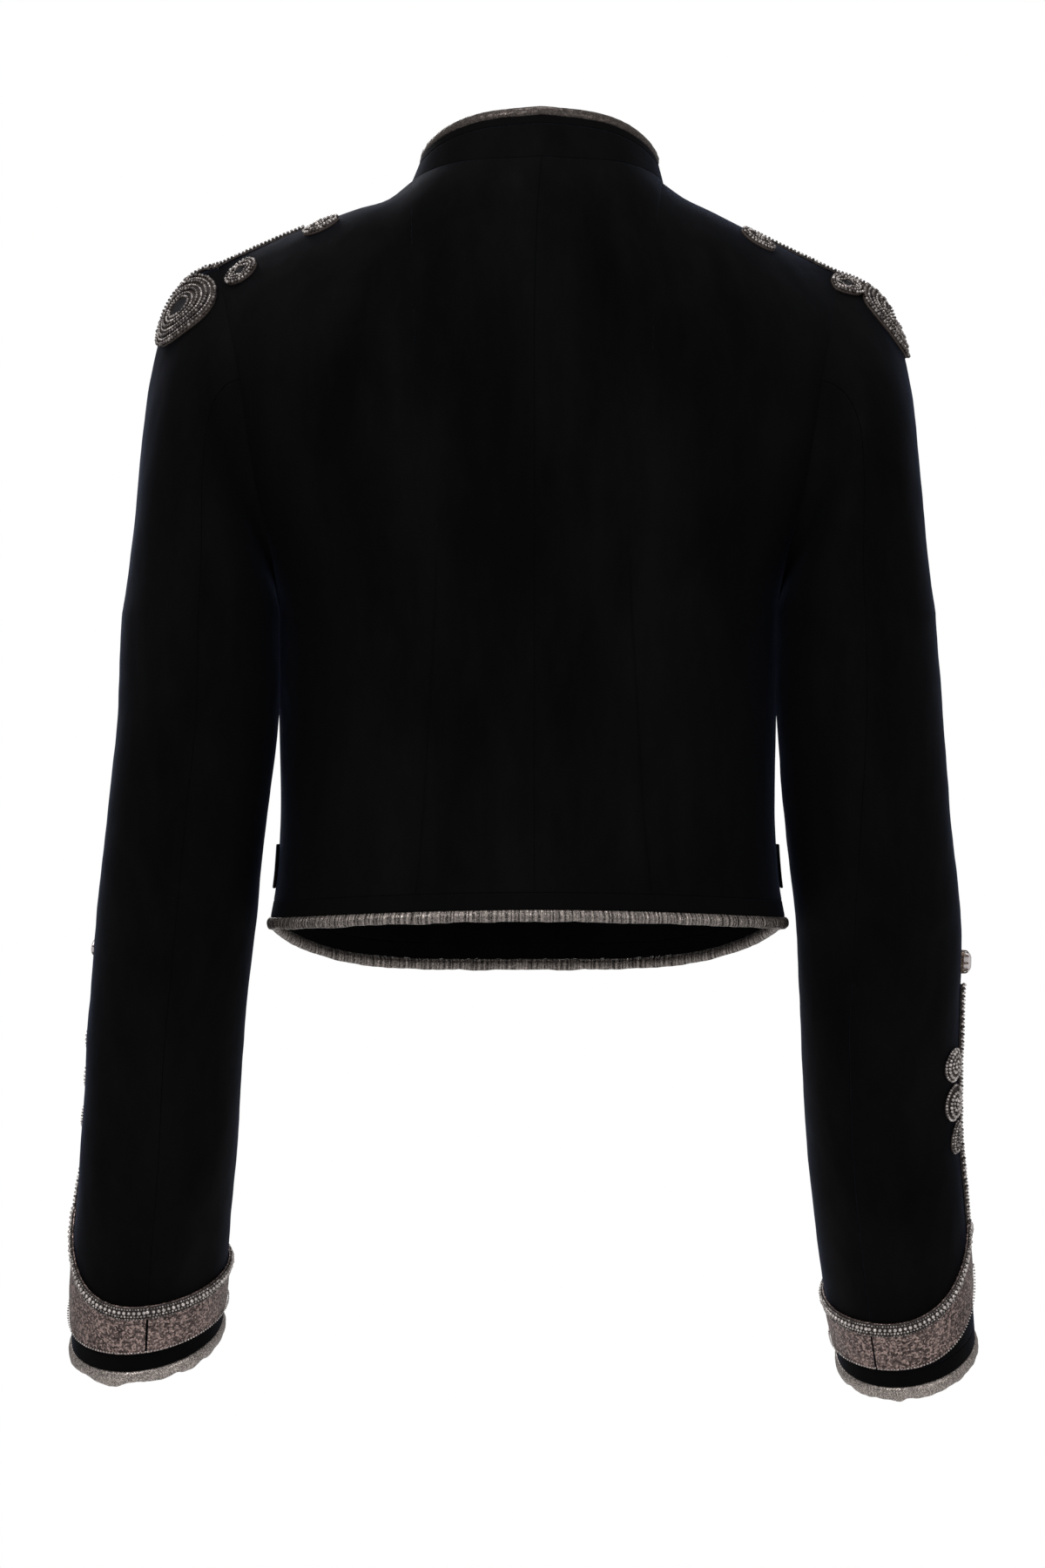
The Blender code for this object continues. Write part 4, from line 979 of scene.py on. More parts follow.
def painted_glint_group():
    """Metallic thread: small cells of its grain painted lighter and darker as glints, pleats along a run
    painted as shade and highlight, with a cell height.
    """
    found = bpy.data.node_groups.get("Metallic Glint")
    if found:
        return found
    group, given, out = new_group(
        "Metallic Glint",
        (
            ("NodeSocketColor", "Dark", (0.10, 0.09, 0.085, 1.0)),
            ("NodeSocketColor", "Light", (0.62, 0.58, 0.56, 1.0)),
            ("NodeSocketFloat", "Cell Scale", 1200.0),
            ("NodeSocketFloat", "Patch Scale", 90.0),
            ("NodeSocketFloat", "Run", 0.0),
            ("NodeSocketFloat", "Pleats", 0.0),
        ),
        (("NodeSocketColor", "Colour"), ("NodeSocketFloat", "Roughness"), ("NodeSocketFloat", "Height")),
    )
    place = add_node(group, "ShaderNodeTexCoord")
    cells = add_node(group, "ShaderNodeTexVoronoi", feature="F1")
    split = add_node(group, "ShaderNodeSeparateColor")
    patch = add_node(group, "ShaderNodeTexNoise", {"Detail": 4.0})
    # Painted glints: a power of each cell's random value leaves a few light cells among dark ones as
    # sparkle.
    painted_glint = add_node(group, "ShaderNodeMath", {1: 2.4}, operation="POWER")
    mean = add_node(group, "ShaderNodeMath", {1: 1.25}, operation="MULTIPLY_ADD")
    soft = add_node(group, "ShaderNodeMath", {1: 0.45, 2: -0.15}, operation="MULTIPLY_ADD")
    mix = add_node(group, "ShaderNodeMix", data_type="RGBA")
    rough = add_node(group, "ShaderNodeMapRange", {"To Min": 0.56, "To Max": 0.22})
    # Painted shade and highlight of the pleats: noise along the run makes light crests and dark gaps in the
    # colour, and also feeds the height.
    pleat = add_node(group, "ShaderNodeTexNoise", {"Scale": 640.0, "Detail": 2.0}, noise_dimensions="1D")
    crest = add_node(group, "ShaderNodeMapRange", {"From Min": 0.40, "From Max": 0.62})
    share = add_node(group, "ShaderNodeMix", data_type="FLOAT")
    lift = add_node(group, "ShaderNodeMix", data_type="FLOAT")
    join(
        group,
        (given, "Run", pleat, "W"),
        (pleat, "Fac", crest, "Value"),
        (given, "Pleats", share, "Factor"),
        (given, "Pleats", lift, "Factor"),
        (crest, "Result", share, "B"),
        (crest, "Result", lift, "B"),
        (place, "Object", cells, "Vector"),
        (given, "Cell Scale", cells, "Scale"),
        (place, "Object", patch, "Vector"),
        (given, "Patch Scale", patch, "Scale"),
        (cells, "Color", split, "Color"),
        (split, "Red", painted_glint, 0),
        (patch, "Fac", soft, 0),
        (painted_glint, "Value", mean, 0),
        (soft, "Value", mean, 2),
        (mean, "Value", share, "A"),
        (share, "Result", mix, "Factor"),
        (given, "Dark", mix, "A"),
        (given, "Light", mix, "B"),
        (split, "Green", rough, "Value"),
        (mix, "Result", out, "Colour"),
        (rough, "Result", out, "Roughness"),
        (split, "Blue", lift, "A"),
        (lift, "Result", out, "Height"),
    )
    return group


def start_material(name):
    """New material with its node tree and its Principled shader."""
    material = bpy.data.materials.new(name)
    material.use_nodes = True
    return material, material.node_tree, material.node_tree.nodes["Principled BSDF"]


def add_bump(tree, shader, source, output, strength, distance):
    bump = add_node(tree, "ShaderNodeBump", {"Strength": strength, "Distance": distance})
    join(tree, (source, output, bump, "Height"), (bump, "Normal", shader, "Normal"))


def add_ramp(tree, stops):
    """Colour ramp with its stops evenly spaced."""
    ramp = tree.nodes.new("ShaderNodeValToRGB")
    elements = ramp.color_ramp.elements
    elements[0].color = (*stops[0], 1.0)
    elements[1].color = (*stops[-1], 1.0)
    for k in range(1, len(stops) - 1):
        elements.new(k / (len(stops) - 1)).color = (*stops[k], 1.0)
    return ramp


def velvet_material(name, dark, light, sheen):
    found = bpy.data.materials.get(name)
    if found:
        return found
    settings = bpy.context.scene.jacket_velvet
    material, tree, shader = start_material(name)
    colours = {"Dark": (*dark, 1.0), "Light": (*light, 1.0)}
    pile = add_node(tree, "ShaderNodeGroup", colours, node_tree=pile_group())
    join(tree, (pile, "Colour", shader, "Base Color"), (pile, "Roughness", shader, "Roughness"))
    shader.inputs["Specular IOR Level"].default_value = 0.06
    shader.inputs["Sheen Weight"].default_value = sheen
    shader.inputs["Sheen Roughness"].default_value = 0.25
    shader.inputs["Sheen Tint"].default_value = (*settings.sheen_colour, 1.0)
    add_bump(tree, shader, pile, "Height", 0.35, CLOTH_BUMP)
    return material


def metallic_material(name, dark, light, cell, patch, metallic, strength, pleats=0.0):
    found = bpy.data.materials.get(name)
    if found:
        return found
    material, tree, shader = start_material(name)
    values = {
        "Dark": (*dark, 1.0), "Light": (*light, 1.0),
        "Cell Scale": cell, "Patch Scale": patch, "Pleats": pleats,
    }
    glint = add_node(tree, "ShaderNodeGroup", values, node_tree=painted_glint_group())
    # The pleats weigh the painted pleat shade and highlight against the cells.
    if pleats:
        run = add_node(tree, "ShaderNodeAttribute", attribute_name="run")
        join(tree, (run, "Fac", glint, "Run"))
    join(tree, (glint, "Colour", shader, "Base Color"), (glint, "Roughness", shader, "Roughness"))
    shader.inputs["Metallic"].default_value = metallic
    add_bump(tree, shader, glint, "Height", strength, CLOTH_BUMP)
    return material


def tone_material(name, stops, metallic, roughness, coat):
    """Colour by the piece's own tone attribute, for beads and stitched thread."""
    found = bpy.data.materials.get(name)
    if found:
        return found
    material, tree, shader = start_material(name)
    tone = add_node(tree, "ShaderNodeAttribute", attribute_name="tone")
    ramp = add_ramp(tree, stops)
    place = add_node(tree, "ShaderNodeTexCoord")
    grain = add_node(tree, "ShaderNodeTexNoise", {"Scale": 2400.0})
    rough = add_node(tree, "ShaderNodeMapRange", {"To Min": roughness[0], "To Max": roughness[1]})
    join(
        tree,
        (tone, "Fac", ramp, "Fac"),
        (ramp, "Color", shader, "Base Color"),
        (place, "Object", grain, "Vector"),
        (grain, "Fac", rough, "Value"),
        (rough, "Result", shader, "Roughness"),
    )
    shader.inputs["Metallic"].default_value = metallic
    shader.inputs["Coat Weight"].default_value = coat
    add_bump(tree, shader, grain, "Fac", 0.25, GRAIN_BUMP)
    return material


def cloud_material(name, scale, stops):
    """New material whose colour drifts between tones in soft clouds."""
    material, tree, shader = start_material(name)
    place = add_node(tree, "ShaderNodeTexCoord")
    cloud = add_node(tree, "ShaderNodeTexNoise", {"Scale": scale})
    ramp = add_ramp(tree, stops)
    join(
        tree,
        (place, "Object", cloud, "Vector"),
        (cloud, "Fac", ramp, "Fac"),
        (ramp, "Color", shader, "Base Color"),
    )
    return material, shader


def tint(colour, share):
    return [share * c for c in colour]


def body_velvet():
    settings = bpy.context.scene.jacket_velvet
    return velvet_material("Navy Velvet", settings.colour, settings.nap_sheen_colour, settings.sheen)


def edge_velvet():
    settings = bpy.context.scene.jacket_velvet
    return velvet_material("Black Edge Velvet", settings.edge_colour, settings.colour, 0.5 * settings.sheen)


def silver_cloth():
    light = bpy.context.scene.jacket_trim.silver
    return metallic_material("Silver Binding", tint(light, 0.05), light, 1600.0, 40.0, 0.85, 1.0, 0.60)


def lit_cuff_binding_cloth():
    light = bpy.context.scene.jacket_trim.silver
    # The hem's silver painted lighter, light end 1.42 times and dark end 0.22 times it, for the stronger
    # light on the cuffs.
    return metallic_material(
        "Cuff Binding", tint(light, 0.22), tint(light, 1.42), 2200.0, 50.0, 0.75, 0.4, 0.12,
    )


def collar_cloth():
    light = bpy.context.scene.jacket_trim.collar
    return metallic_material("Collar Binding", tint(light, 0.35), light, 1500.0, 220.0, 0.6, 0.5, 0.15)


def cuff_cloth():
    light = bpy.context.scene.jacket_trim.cuff
    return metallic_material("Taupe Cuff", tint(light, 0.06), light, 1000.0, 60.0, 0.75, 1.0)


def bead_finish():
    light = bpy.context.scene.jacket_beads.pearl
    dark = bpy.context.scene.jacket_beads.smoke
    middle = [0.5 * (a + b) for a, b in zip(light, dark)]
    return tone_material("Pearl Beads", (dark, middle, light), 0.6, (0.14, 0.30), 0.3)


def thread_finish():
    thread = bpy.context.scene.jacket_beads.thread
    stops = ((0.006, 0.006, 0.009), tint(thread, 0.55), thread)
    return tone_material("Stitched Thread", stops, 0.25, (0.45, 0.7), 0.0)


def panel_levels(face, f, rows):
    """Levels of a panel's rows, the lowest of which stops above the hem trim."""
    bottom = hem_level(face, f, TRIM)
    return np.where(rows <= 1.0, bottom + (1.0 - bottom) * np.minimum(rows, 1.0), rows)


def cut_panel(face, sign):
    """Grid of one body panel, its columns led along the dart on the back."""
    neck = NECK_COLUMN * np.sin(spaced(0.0, math.pi / 2, 26, 0.0147))[:-3]
    start = math.asin(NECK_COLUMN)
    shoulder = np.sin(spaced(start, math.pi / 2, 44, COLUMN_MM))
    columns = np.concatenate([neck, [c for c in shoulder if c > neck[-1] + 1e-5]])
    f = columns[None, :]
    low = spaced(0.0, 1.0, 52, 1 / 165)
    arm = np.linspace(1.0, 2.0, 37)[1:]
    top = 2.0 + spaced(0.0, 1.0, 34, 1 / 95)[5:]
    rows = np.concatenate([low, arm, top])[:, None]
    if face == "back":
        z = body_at(face, sign, f, panel_levels(face, f, rows))[..., 2]
        lead = (dart_column(z) - NECK_COLUMN) * ease((YOKE - z) / 0.06)
        f = f + lead * np.exp(-((f - NECK_COLUMN) / 0.15) ** 2) * (1.0 - f ** 6) * ease(f / 0.08)
    return body_at(face, sign, f, panel_levels(face, f, rows))


def hem_line(face, columns, distance, sign=0.0):
    """Points a given distance above the hem; the sign of a column is its side unless one is given."""
    side = np.where(columns < 0, -1.0, 1.0) if sign == 0.0 else np.full_like(columns, sign)
    f = np.abs(columns)
    return body_at(face, side, f, hem_level(face, f, distance))


def hem_columns(face, count):
    if face == "back":
        return np.sin(np.linspace(-math.pi / 2, math.pi / 2, 2 * count + 1))
    return np.sin(np.linspace(0.0, math.pi / 2, count + 1))


def neck_path(count):
    """Columns round the neck from the right front to the left front."""
    f = NECK_COLUMN * np.sin(np.linspace(0.0, math.pi / 2, count + 1))
    path = [(-1.0, "front", v) for v in f[:-1]] + [(-1.0, "back", v) for v in f[:0:-1]]
    return path + [(1.0, "back", v) for v in f] + [(1.0, "front", v) for v in f[-2::-1]]


def collar_strip(low, high, shares, count):
    """Rows between two distances: from the neck seam where positive, from the top edge where negative."""
    base, top = [], []
    for sign, face, f in neck_path(count):
        base.append(collar_at(sign, face, np.array(f), np.array(0.0)))
        top.append(collar_at(sign, face, np.array(f), np.array(1.0)))
    base, top = np.array(base), np.array(top)
    tall = np.linalg.norm(top - base, axis=-1)[:, None]
    start = low / tall if low >= 0 else 1.0 + low / tall
    stop = high / tall if high > 0 else 1.0 + high / tall
    return np.array([base + (top - base) * blend(start, stop, s) for s in shares])


def sleeve_length(which):
    return BICEP - SLEEVE_SIDE[which].end


def ornament_turn(which, height):
    """Angle of the ornament line at a height."""
    return table_at(ORNAMENT_TURNS, which, height)


def cuff_sweep(turns, peak):
    """How far an edge of the taupe cuff rises toward its point, 0 to 1."""
    away = np.abs((turns * 360.0 - peak + 180.0) % 360.0 - 180.0)
    return np.clip(1.0 - away / CUFF_POINT_REACH, 0.0, 1.0) ** CUFF_POINT_POWER


def on_line(which, height, aside=0.0):
    """Point of the forearm's ornament line, or so far toward the back of it."""
    level = 1.0 + (BICEP - height) / sleeve_length(which)
    turn = ornament_turn(which, height) / 360.0 - aside / SLEEVE_ROUND
    return sleeve_at(which, np.array(turn), np.array(level))


# Settings that a user would change
ColourProperty = partial(FloatVectorProperty, subtype="COLOR", size=3, min=0.0, max=1.0)
FactorProperty = partial(FloatProperty, subtype="FACTOR", min=0.0)
LengthProperty = partial(FloatProperty, subtype="DISTANCE", unit="LENGTH")


class VelvetSettings(bpy.types.PropertyGroup):
    """Looks of the velvet"""

    colour: ColourProperty(
        name="Colour", description="Velvet seen along the pile", default=(0.0010, 0.0010, 0.0010),
    )
    # Lighter velvet of the brushed patches: a painted sheen where the pile catches the light.
    nap_sheen_colour: ColourProperty(
        name="Brushed Colour", description="Velvet where the pile is brushed toward the light",
        default=(0.0019, 0.0019, 0.0023),
    )
    edge_colour: ColourProperty(
        name="Edge Colour", description="Velvet of the narrow edge bands", default=(0.0015, 0.0015, 0.0019),
    )
    sheen_colour: ColourProperty(
        name="Sheen Colour", description="Tint of the soft light along the outline",
        default=(0.20, 0.24, 0.42),
    )
    sheen: FactorProperty(
        name="Sheen", description="Strength of the soft light along the outline", max=1.0, default=0.32,
    )


class TrimSettings(bpy.types.PropertyGroup):
    """Looks of the metallic trim"""

    silver: ColourProperty(
        name="Hem and Cuff Binding", description="Silver cloth of the gathered bindings",
        default=(0.49, 0.428, 0.394),
    )
    collar: ColourProperty(
        name="Collar Binding", description="Darker metallic cloth at the top of the collar",
        default=(0.125, 0.102, 0.092),
    )
    cuff: ColourProperty(
        name="Cuff", description="Taupe metallic cloth of the cuffs", default=(0.47, 0.345, 0.315),
    )
    gather: FactorProperty(
        name="Gather", description="Depth of the puckers as a part of the binding's thickness",
        max=0.6, default=0.34,
    )
    wave: LengthProperty(
        name="Wave", description="How far the lower edge of a binding wanders",
        min=0.0, max=0.004, default=0.0016,
    )


class BeadSettings(bpy.types.PropertyGroup):
    """Looks and sizes of the beadwork"""

    pearl: ColourProperty(name="Pearl", description="Lightest beads", default=(0.80, 0.73, 0.70))
    smoke: ColourProperty(name="Smoke", description="Darkest beads", default=(0.048, 0.036, 0.032))
    thread: ColourProperty(
        name="Thread", description="Stitched thread under the beads", default=(0.066, 0.048, 0.041),
    )
    seed_radius: LengthProperty(
        name="Seed Bead", description="Radius of the small beads", min=0.0003, max=0.002, default=0.00075,
    )
    braid_radius: LengthProperty(
        name="Braid Bead", description="Radius of the larger beads along the cuff",
        min=0.0005, max=0.003, default=0.0012,
    )


class StageSettings(bpy.types.PropertyGroup):
    """Camera, light and floor"""

    distance: LengthProperty(
        name="Distance", description="Camera distance", min=0.5, max=10.0, default=3.0,
    )
    azimuth: FloatProperty(
        name="Azimuth", description="Turn of the camera round the jacket from its front",
        subtype="ANGLE", unit="ROTATION", default=math.radians(178.0),
    )
    lens: FloatProperty(
        name="Lens", description="Focal length in millimetres", subtype="DISTANCE_CAMERA",
        min=20.0, max=300.0, default=126.0,
    )
    surround: FactorProperty(
        name="Surround", description="Light from the white surround", max=1.0, default=0.34,
    )
    floor: LengthProperty(
        name="Floor Height", description="Height of the floor below the neck",
        min=-3.0, max=-0.7, default=-1.35,
    )


class JACKET_OT_panels(bpy.types.Operator):
    """Cut the two back and two front panels as walls of velvet"""

    bl_idname = "jacket.panels"
    bl_label = "Body Panels"

    def execute(self, context):
        for side, sign in SIDES:
            for face in ("back", "front"):
                grid = cut_panel(face, sign)
                node = f"{face}_{side}"
                spine = grid * np.array((0.25, 0.0, 1.0))
                add_wall(f"velvet_{node}", grid, spine, body_velvet(), "velvet", node)
        return {"FINISHED"}


class JACKET_OT_sleeves(bpy.types.Operator):
    """Cut the top and under sleeves as walls of velvet"""

    bl_idname = "jacket.sleeves"
    bl_label = "Sleeves"

    def execute(self, context):
        around = np.linspace(0.0, 1.0, 32, endpoint=False)[None, :]
        for side in SLEEVE_SIDE:
            stop = 2.0 - (CUFF_BINDING + CUFF_BAND) / sleeve_length(side)
            cap, arm = spaced(0.0, 1.0, 44, 0.009)[:-5], spaced(0.98, stop, 116, 1 / 400)[5:]
            levels = np.concatenate([cap, arm])[:, None]
            middle = sleeve_at(side, around, levels).mean(axis=1)[:, None, :]
            for piece, low, high, count in (
                ("top_sleeve", HIND_SEAM, FORE_SEAM[side], 60),
                ("under_sleeve", FORE_SEAM[side], 1.0 + HIND_SEAM, 48),
            ):
                grid = sleeve_at(side, spaced(low, high, count, TURN_MM)[None, :], levels)
                node = f"{piece}_{side}"
                add_wall(f"velvet_{node}", grid, middle, body_velvet(), "velvet", node)
        return {"FINISHED"}


class JACKET_OT_collar(bpy.types.Operator):
    """Make the stand collar, its velvet edge and its binding"""

    bl_idname = "jacket.collar"
    bl_label = "Collar"

    def execute(self, context):
        trim = context.scene.jacket_trim
        top = COLLAR_EDGE + COLLAR_BINDING
        axis = np.array((0.0, 0.0, 1.0))
        stand = collar_strip(0.0, -top, spaced(0.0, 1.0, 10, 1 / 20), 44)
        add_wall("velvet_collar_stand", stand, stand * axis, body_velvet(), "velvet", "collar_stand")
        band = collar_strip(-top, -COLLAR_BINDING, spaced(0.0, 1.0, 4, 1 / 5), 44)
        add_wall("velvet_collar_band", band, band * axis, edge_velvet(), "edge_velvet", "collar_band")
        line = collar_strip(-COLLAR_BINDING, -1e-9, (0.0, 0.5, 1.0), 130)
        normals = grid_normals(line, False, line * axis)
        add_roll(
            "collar_binding", line[1], normals[1], unit(line[2] - line[0]), COLLAR_BINDING, COLLAR_ROLL,
            0.7 * trim.gather, 0.3 * trim.wave, collar_cloth(), "collar_metallic", False,
        )
        return {"FINISHED"}


class JACKET_OT_hem(bpy.types.Operator):
    """Make the velvet hem bands and the gathered silver binding below them"""

    bl_idname = "jacket.hem"
    bl_label = "Hem"

    def execute(self, context):
        trim = context.scene.jacket_trim
        hollow = np.array((0.3, 0.0, 1.0))
        shares = spaced(0.0, 1.0, 6, 1 / 9)
        ends = (("back", "back", 0.0), ("front_left", "front", 1.0), ("front_right", "front", -1.0))
        for end, face, sign in ends:
            columns = hem_columns(face, 70)
            band = np.array([hem_line(face, columns, blend(HEM_BINDING, TRIM, s), sign) for s in shares])
            node = f"hem_band_{end}"
            add_wall(f"velvet_{node}", band, band * hollow, edge_velvet(), "edge_velvet", node)
            columns = hem_columns(face, 300)
            distances = (0.0, HEM_BINDING / 2, HEM_BINDING)
            line = np.array([hem_line(face, columns, d, sign) for d in distances])
            normals = grid_normals(line, False, line * hollow)
            add_roll(
                f"hem_binding_{end}", line[1], normals[1], unit(line[2] - line[0]), HEM_BINDING, HEM_ROLL,
                0.6 * trim.gather, 0.5 * trim.wave, silver_cloth(), "silver_binding", False,
            )
        return {"FINISHED"}


CuffLayer = namedtuple("CuffLayer", "turns shares tall outer normals")


class JACKET_OT_cuffs(bpy.types.Operator):
    """Make the cuff bands, their bindings, the taupe layer and its rows of beads"""

    bl_idname = "jacket.cuffs"
    bl_label = "Cuffs"

    def execute(self, context):
        scene = context.scene
        for number, side in enumerate(SLEEVE_SIDE):
            self.edge(side, scene.jacket_trim)
            layer = self.layer(side)
            self.sewing(side, layer)
            self.beads(side, layer, scene.jacket_beads, CUFF_SEED + number)
        return {"FINISHED"}

    def edge(self, side, trim):
        """The velvet band and the padded binding at the end of a sleeve."""
        length = sleeve_length(side)
        low, stop = 2.0 - CUFF_BINDING / length, 2.0 - (CUFF_BINDING + CUFF_BAND) / length
        turns = np.linspace(0.0, 1.0, 180, endpoint=False)[None, :]
        band = sleeve_at(side, turns, blend(stop, low, spaced(0.0, 1.0, 6, 1 / 9))[:, None])
        inside = band.mean(axis=1)[:, None, :]
        node = f"cuff_band_{side}"
        add_wall(f"velvet_{node}", band, inside, edge_velvet(), "edge_velvet", node, ring=True)

        turns = np.linspace(0.0, 1.0, 360, endpoint=False)[None, :]
        line = sleeve_at(side, turns, np.array((2.0, 0.5 * (2.0 + low), low))[:, None])
        normals = grid_normals(line, True, line.mean(axis=1)[:, None, :])
        ways = unit(line[2] - line[0])
        tall = float(np.linalg.norm(line[2] - line[0], axis=-1).min())
        add_roll(
            f"cuff_binding_{side}", line[2] - ways * tall / 2, normals[1], ways, tall, CUFF_ROLL,
            0.45 * trim.gather, 1.8 * trim.wave, lit_cuff_binding_cloth(), "silver_binding", True,
        )

    def layer(self, side):
        """The taupe layer, swept up to its point, with a groove along the hind-arm seam."""
        close = np.array((0.35, 0.8, 1.2, 1.8))
        seam = HIND_SEAM + TURN_MM * np.concatenate([-close[::-1], [0.0], close])
        even = np.linspace(0.0, 1.0, 200, endpoint=False)
        turns = np.sort(np.concatenate([even[np.abs(even - HIND_SEAM) > CUFF_SEAM_CLEAR], seam]))
        low_sweep = cuff_sweep(turns, SLEEVE_SIDE[side].cuff_turn)
        high_sweep = cuff_sweep(turns, ornament_turn(side, CUFF_POINT_HEIGHT))
        start = CUFF_BINDING + CUFF_BAND
        bottom = start + CUFF_LAYER_GAP + CUFF_POINT_LOWER * low_sweep
        upper = start + CUFF_LAYER_TALL + CUFF_POINT_UPPER * high_sweep
        shares = spaced(0.0, 1.0, 24, 1 / 34)
        levels = np.array([2.0 - blend(bottom, upper, s) / sleeve_length(side) for s in shares])
        base = sleeve_at(side, turns[None, :], levels)
        normals = grid_normals(base, True, base.mean(axis=1)[:, None, :])
        groove = CUFF_SEAM_GROOVE * np.exp(-((turns - HIND_SEAM) / TURN_MM / 0.6) ** 2)
        base = base + normals * (WALL / 2 + 0.6 * LAY + CUFF_LAYER / 2 - groove)[None, :, None]
        node = f"cuff_layer_{side}"
        outer, normals = add_wall(
            f"taupe_{node}", base, base.mean(axis=1)[:, None, :], cuff_cloth(), "cuff_metallic", node,
            ring=True, wall=CUFF_LAYER,
        )
        return CuffLayer(turns, shares, upper - bottom, outer, normals)

    def sewing(self, side, layer):
        """The braid along the layer's upper edge, and its seam below the braid."""
        under = [1.0 - d / layer.tall for d in np.linspace(STITCH, BRAID_TALL, BRAID_LINES)]
        strip = np.array([row_at(layer.shares, layer.outer, s) for s in under])
        lean = np.array([row_at(layer.shares, layer.normals, s) for s in under])
        puff = BRAID_PUFF * np.sin(np.linspace(0.3, math.pi - 0.3, BRAID_LINES))
        dull = np.full(2 * strip.shape[0] * strip.shape[1], 0.35)
        finish = thread_finish()
        add_strip(f"thread_braid_{side}", strip, lean, puff, STITCH, finish, "beadwork", True, tone=dull)

        middle = int(np.argmin(np.abs(layer.turns - HIND_SEAM)))
        near_seam = slice(middle - 2, middle + 3)
        below = layer.shares < 1.0 - 1.05 * BRAID_TALL / layer.tall[middle]
        line, lean = layer.outer[below][:, near_seam], layer.normals[below][:, near_seam]
        high = np.full(len(line), STITCH)
        add_strip(f"seam_cuff_{side}", line, lean, high, STITCH, edge_velvet(), "edge_velvet", False)

    def beads(self, side, layer, beads, seed):
        """Rows of beads on the braid and along the layer's lower edge."""
        tray = Tray(seed)
        for row in BRAID_ROWS:
            share = -row.distance / layer.tall
            share = 1.0 + share if row.distance > 0 else share
            line, lean = (row_at(layer.shares, grid, share) for grid in (layer.outer, layer.normals))
            radius = row.size * beads.braid_radius
            spots = even_places(line, row.pitch * radius, True)
            out = beside(line, lean, spots)
            tray.add(spots + out * BRAID_BEAD_RISE, out, radius, (row.dark, row.light))
        tray.finish(f"beads_cuff_{side}")


class JACKET_OT_tabs(bpy.types.Operator):
    """Lay a velvet tab over each side seam above the hem"""

    bl_idname = "jacket.tabs"
    bl_label = "Side Tabs"

    def execute(self, context):
        for side, sign in SIDES:
            heights = blend(TAB_HEIGHTS[0], TAB_HEIGHTS[1], spaced(0.0, 1.0, 14, 1 / 24))
            rows = []
            for height in heights:
                row = []
                for q in spaced(-TAB_BACK, TAB_FRONT, 34, COLUMN_MM):
                    face = "back" if q < 0 else "front"
                    f = math.cos(abs(q) * math.pi / 2)
                    level = (height - hem_height(face, f)) / (UNDERARM - hem_height(face, f))
                    row.append(body_at(face, sign, f, level))
                rows.append(row)
            grid = np.array(rows)
            inside = grid * np.array((0.5, 0.3, 1.0))
            node = f"side_tab_{side}"
            add_wall(
                f"velvet_{node}", grid, inside, body_velvet(), "velvet", node,
                wall=TAB_TALL, rise=WALL / 2 + LAY + TAB_TALL / 2, keep=False,
            )
        return {"FINISHED"}


class JACKET_OT_shoulders(bpy.types.Operator):
    """Lay the beaded motifs and the cord along each shoulder"""

    bl_idname = "jacket.shoulders"
    bl_label = "Shoulder Beadwork"

    def execute(self, context):
        tree = skin_tree()
        lay = MOTIF_LAY["shoulder"]
        angle = np.linspace(0.0, 2 * math.pi, 160, endpoint=False)
        for number, motif in enumerate(SHOULDER_MOTIFS):
            centre, normal = near(tree, (motif.x, motif.y, motif.z))
            along = np.array((SLEEVE_SIDE[motif.side].sign, 0.0, MOTIF_SLOPE))
            outline = oval(motif.half_long, motif.half_short, 56)
            label = f"shoulder_motif_{motif.name}_{motif.side}"
            dark = 0.20 if motif.name == "large" else 0.40
            add_pad(label, tree, centre, normal, along, outline, dark, lay, MOTIF_TALL)
            tray = Tray(SHOULDER_MOTIF_SEED + number)
            edge = oval(motif.half_long, motif.half_short, len(angle))
            for row in BEAD_ROWS[motif.name]:
                line = edge * (row.share * (1.0 + row.depth * np.cos(row.lobes * angle)))[:, None]
                high = lay + MOTIF_TALL * 0.72 * float(pad_height(np.array(row.share)))
                tone = (row.dark, row.light)
                tray.lay(tree, centre, local_frame(normal, along), line, True, high, row.radius, tone)
            tray.finish(f"beads_{label}")
        for number, (side, sign) in enumerate(SIDES):
            span = np.linspace(*SHOULDER_CORD_SPAN, 16)
            ridge = SHOULDER_Z * (span - NECK_HALF) / (SHOULDER_X - NECK_HALF) + SHOULDER_CORD_RISE
            path = np.stack([sign * span, np.full_like(span, SHOULDER_CORD_Y), ridge], axis=-1)
            node = f"shoulder_cord_{side}"
            bead_cord(node, SHOULDER_CORD_SEED + number, add_cord(node, tree, path), (0.0, 0.6))
        return {"FINISHED"}


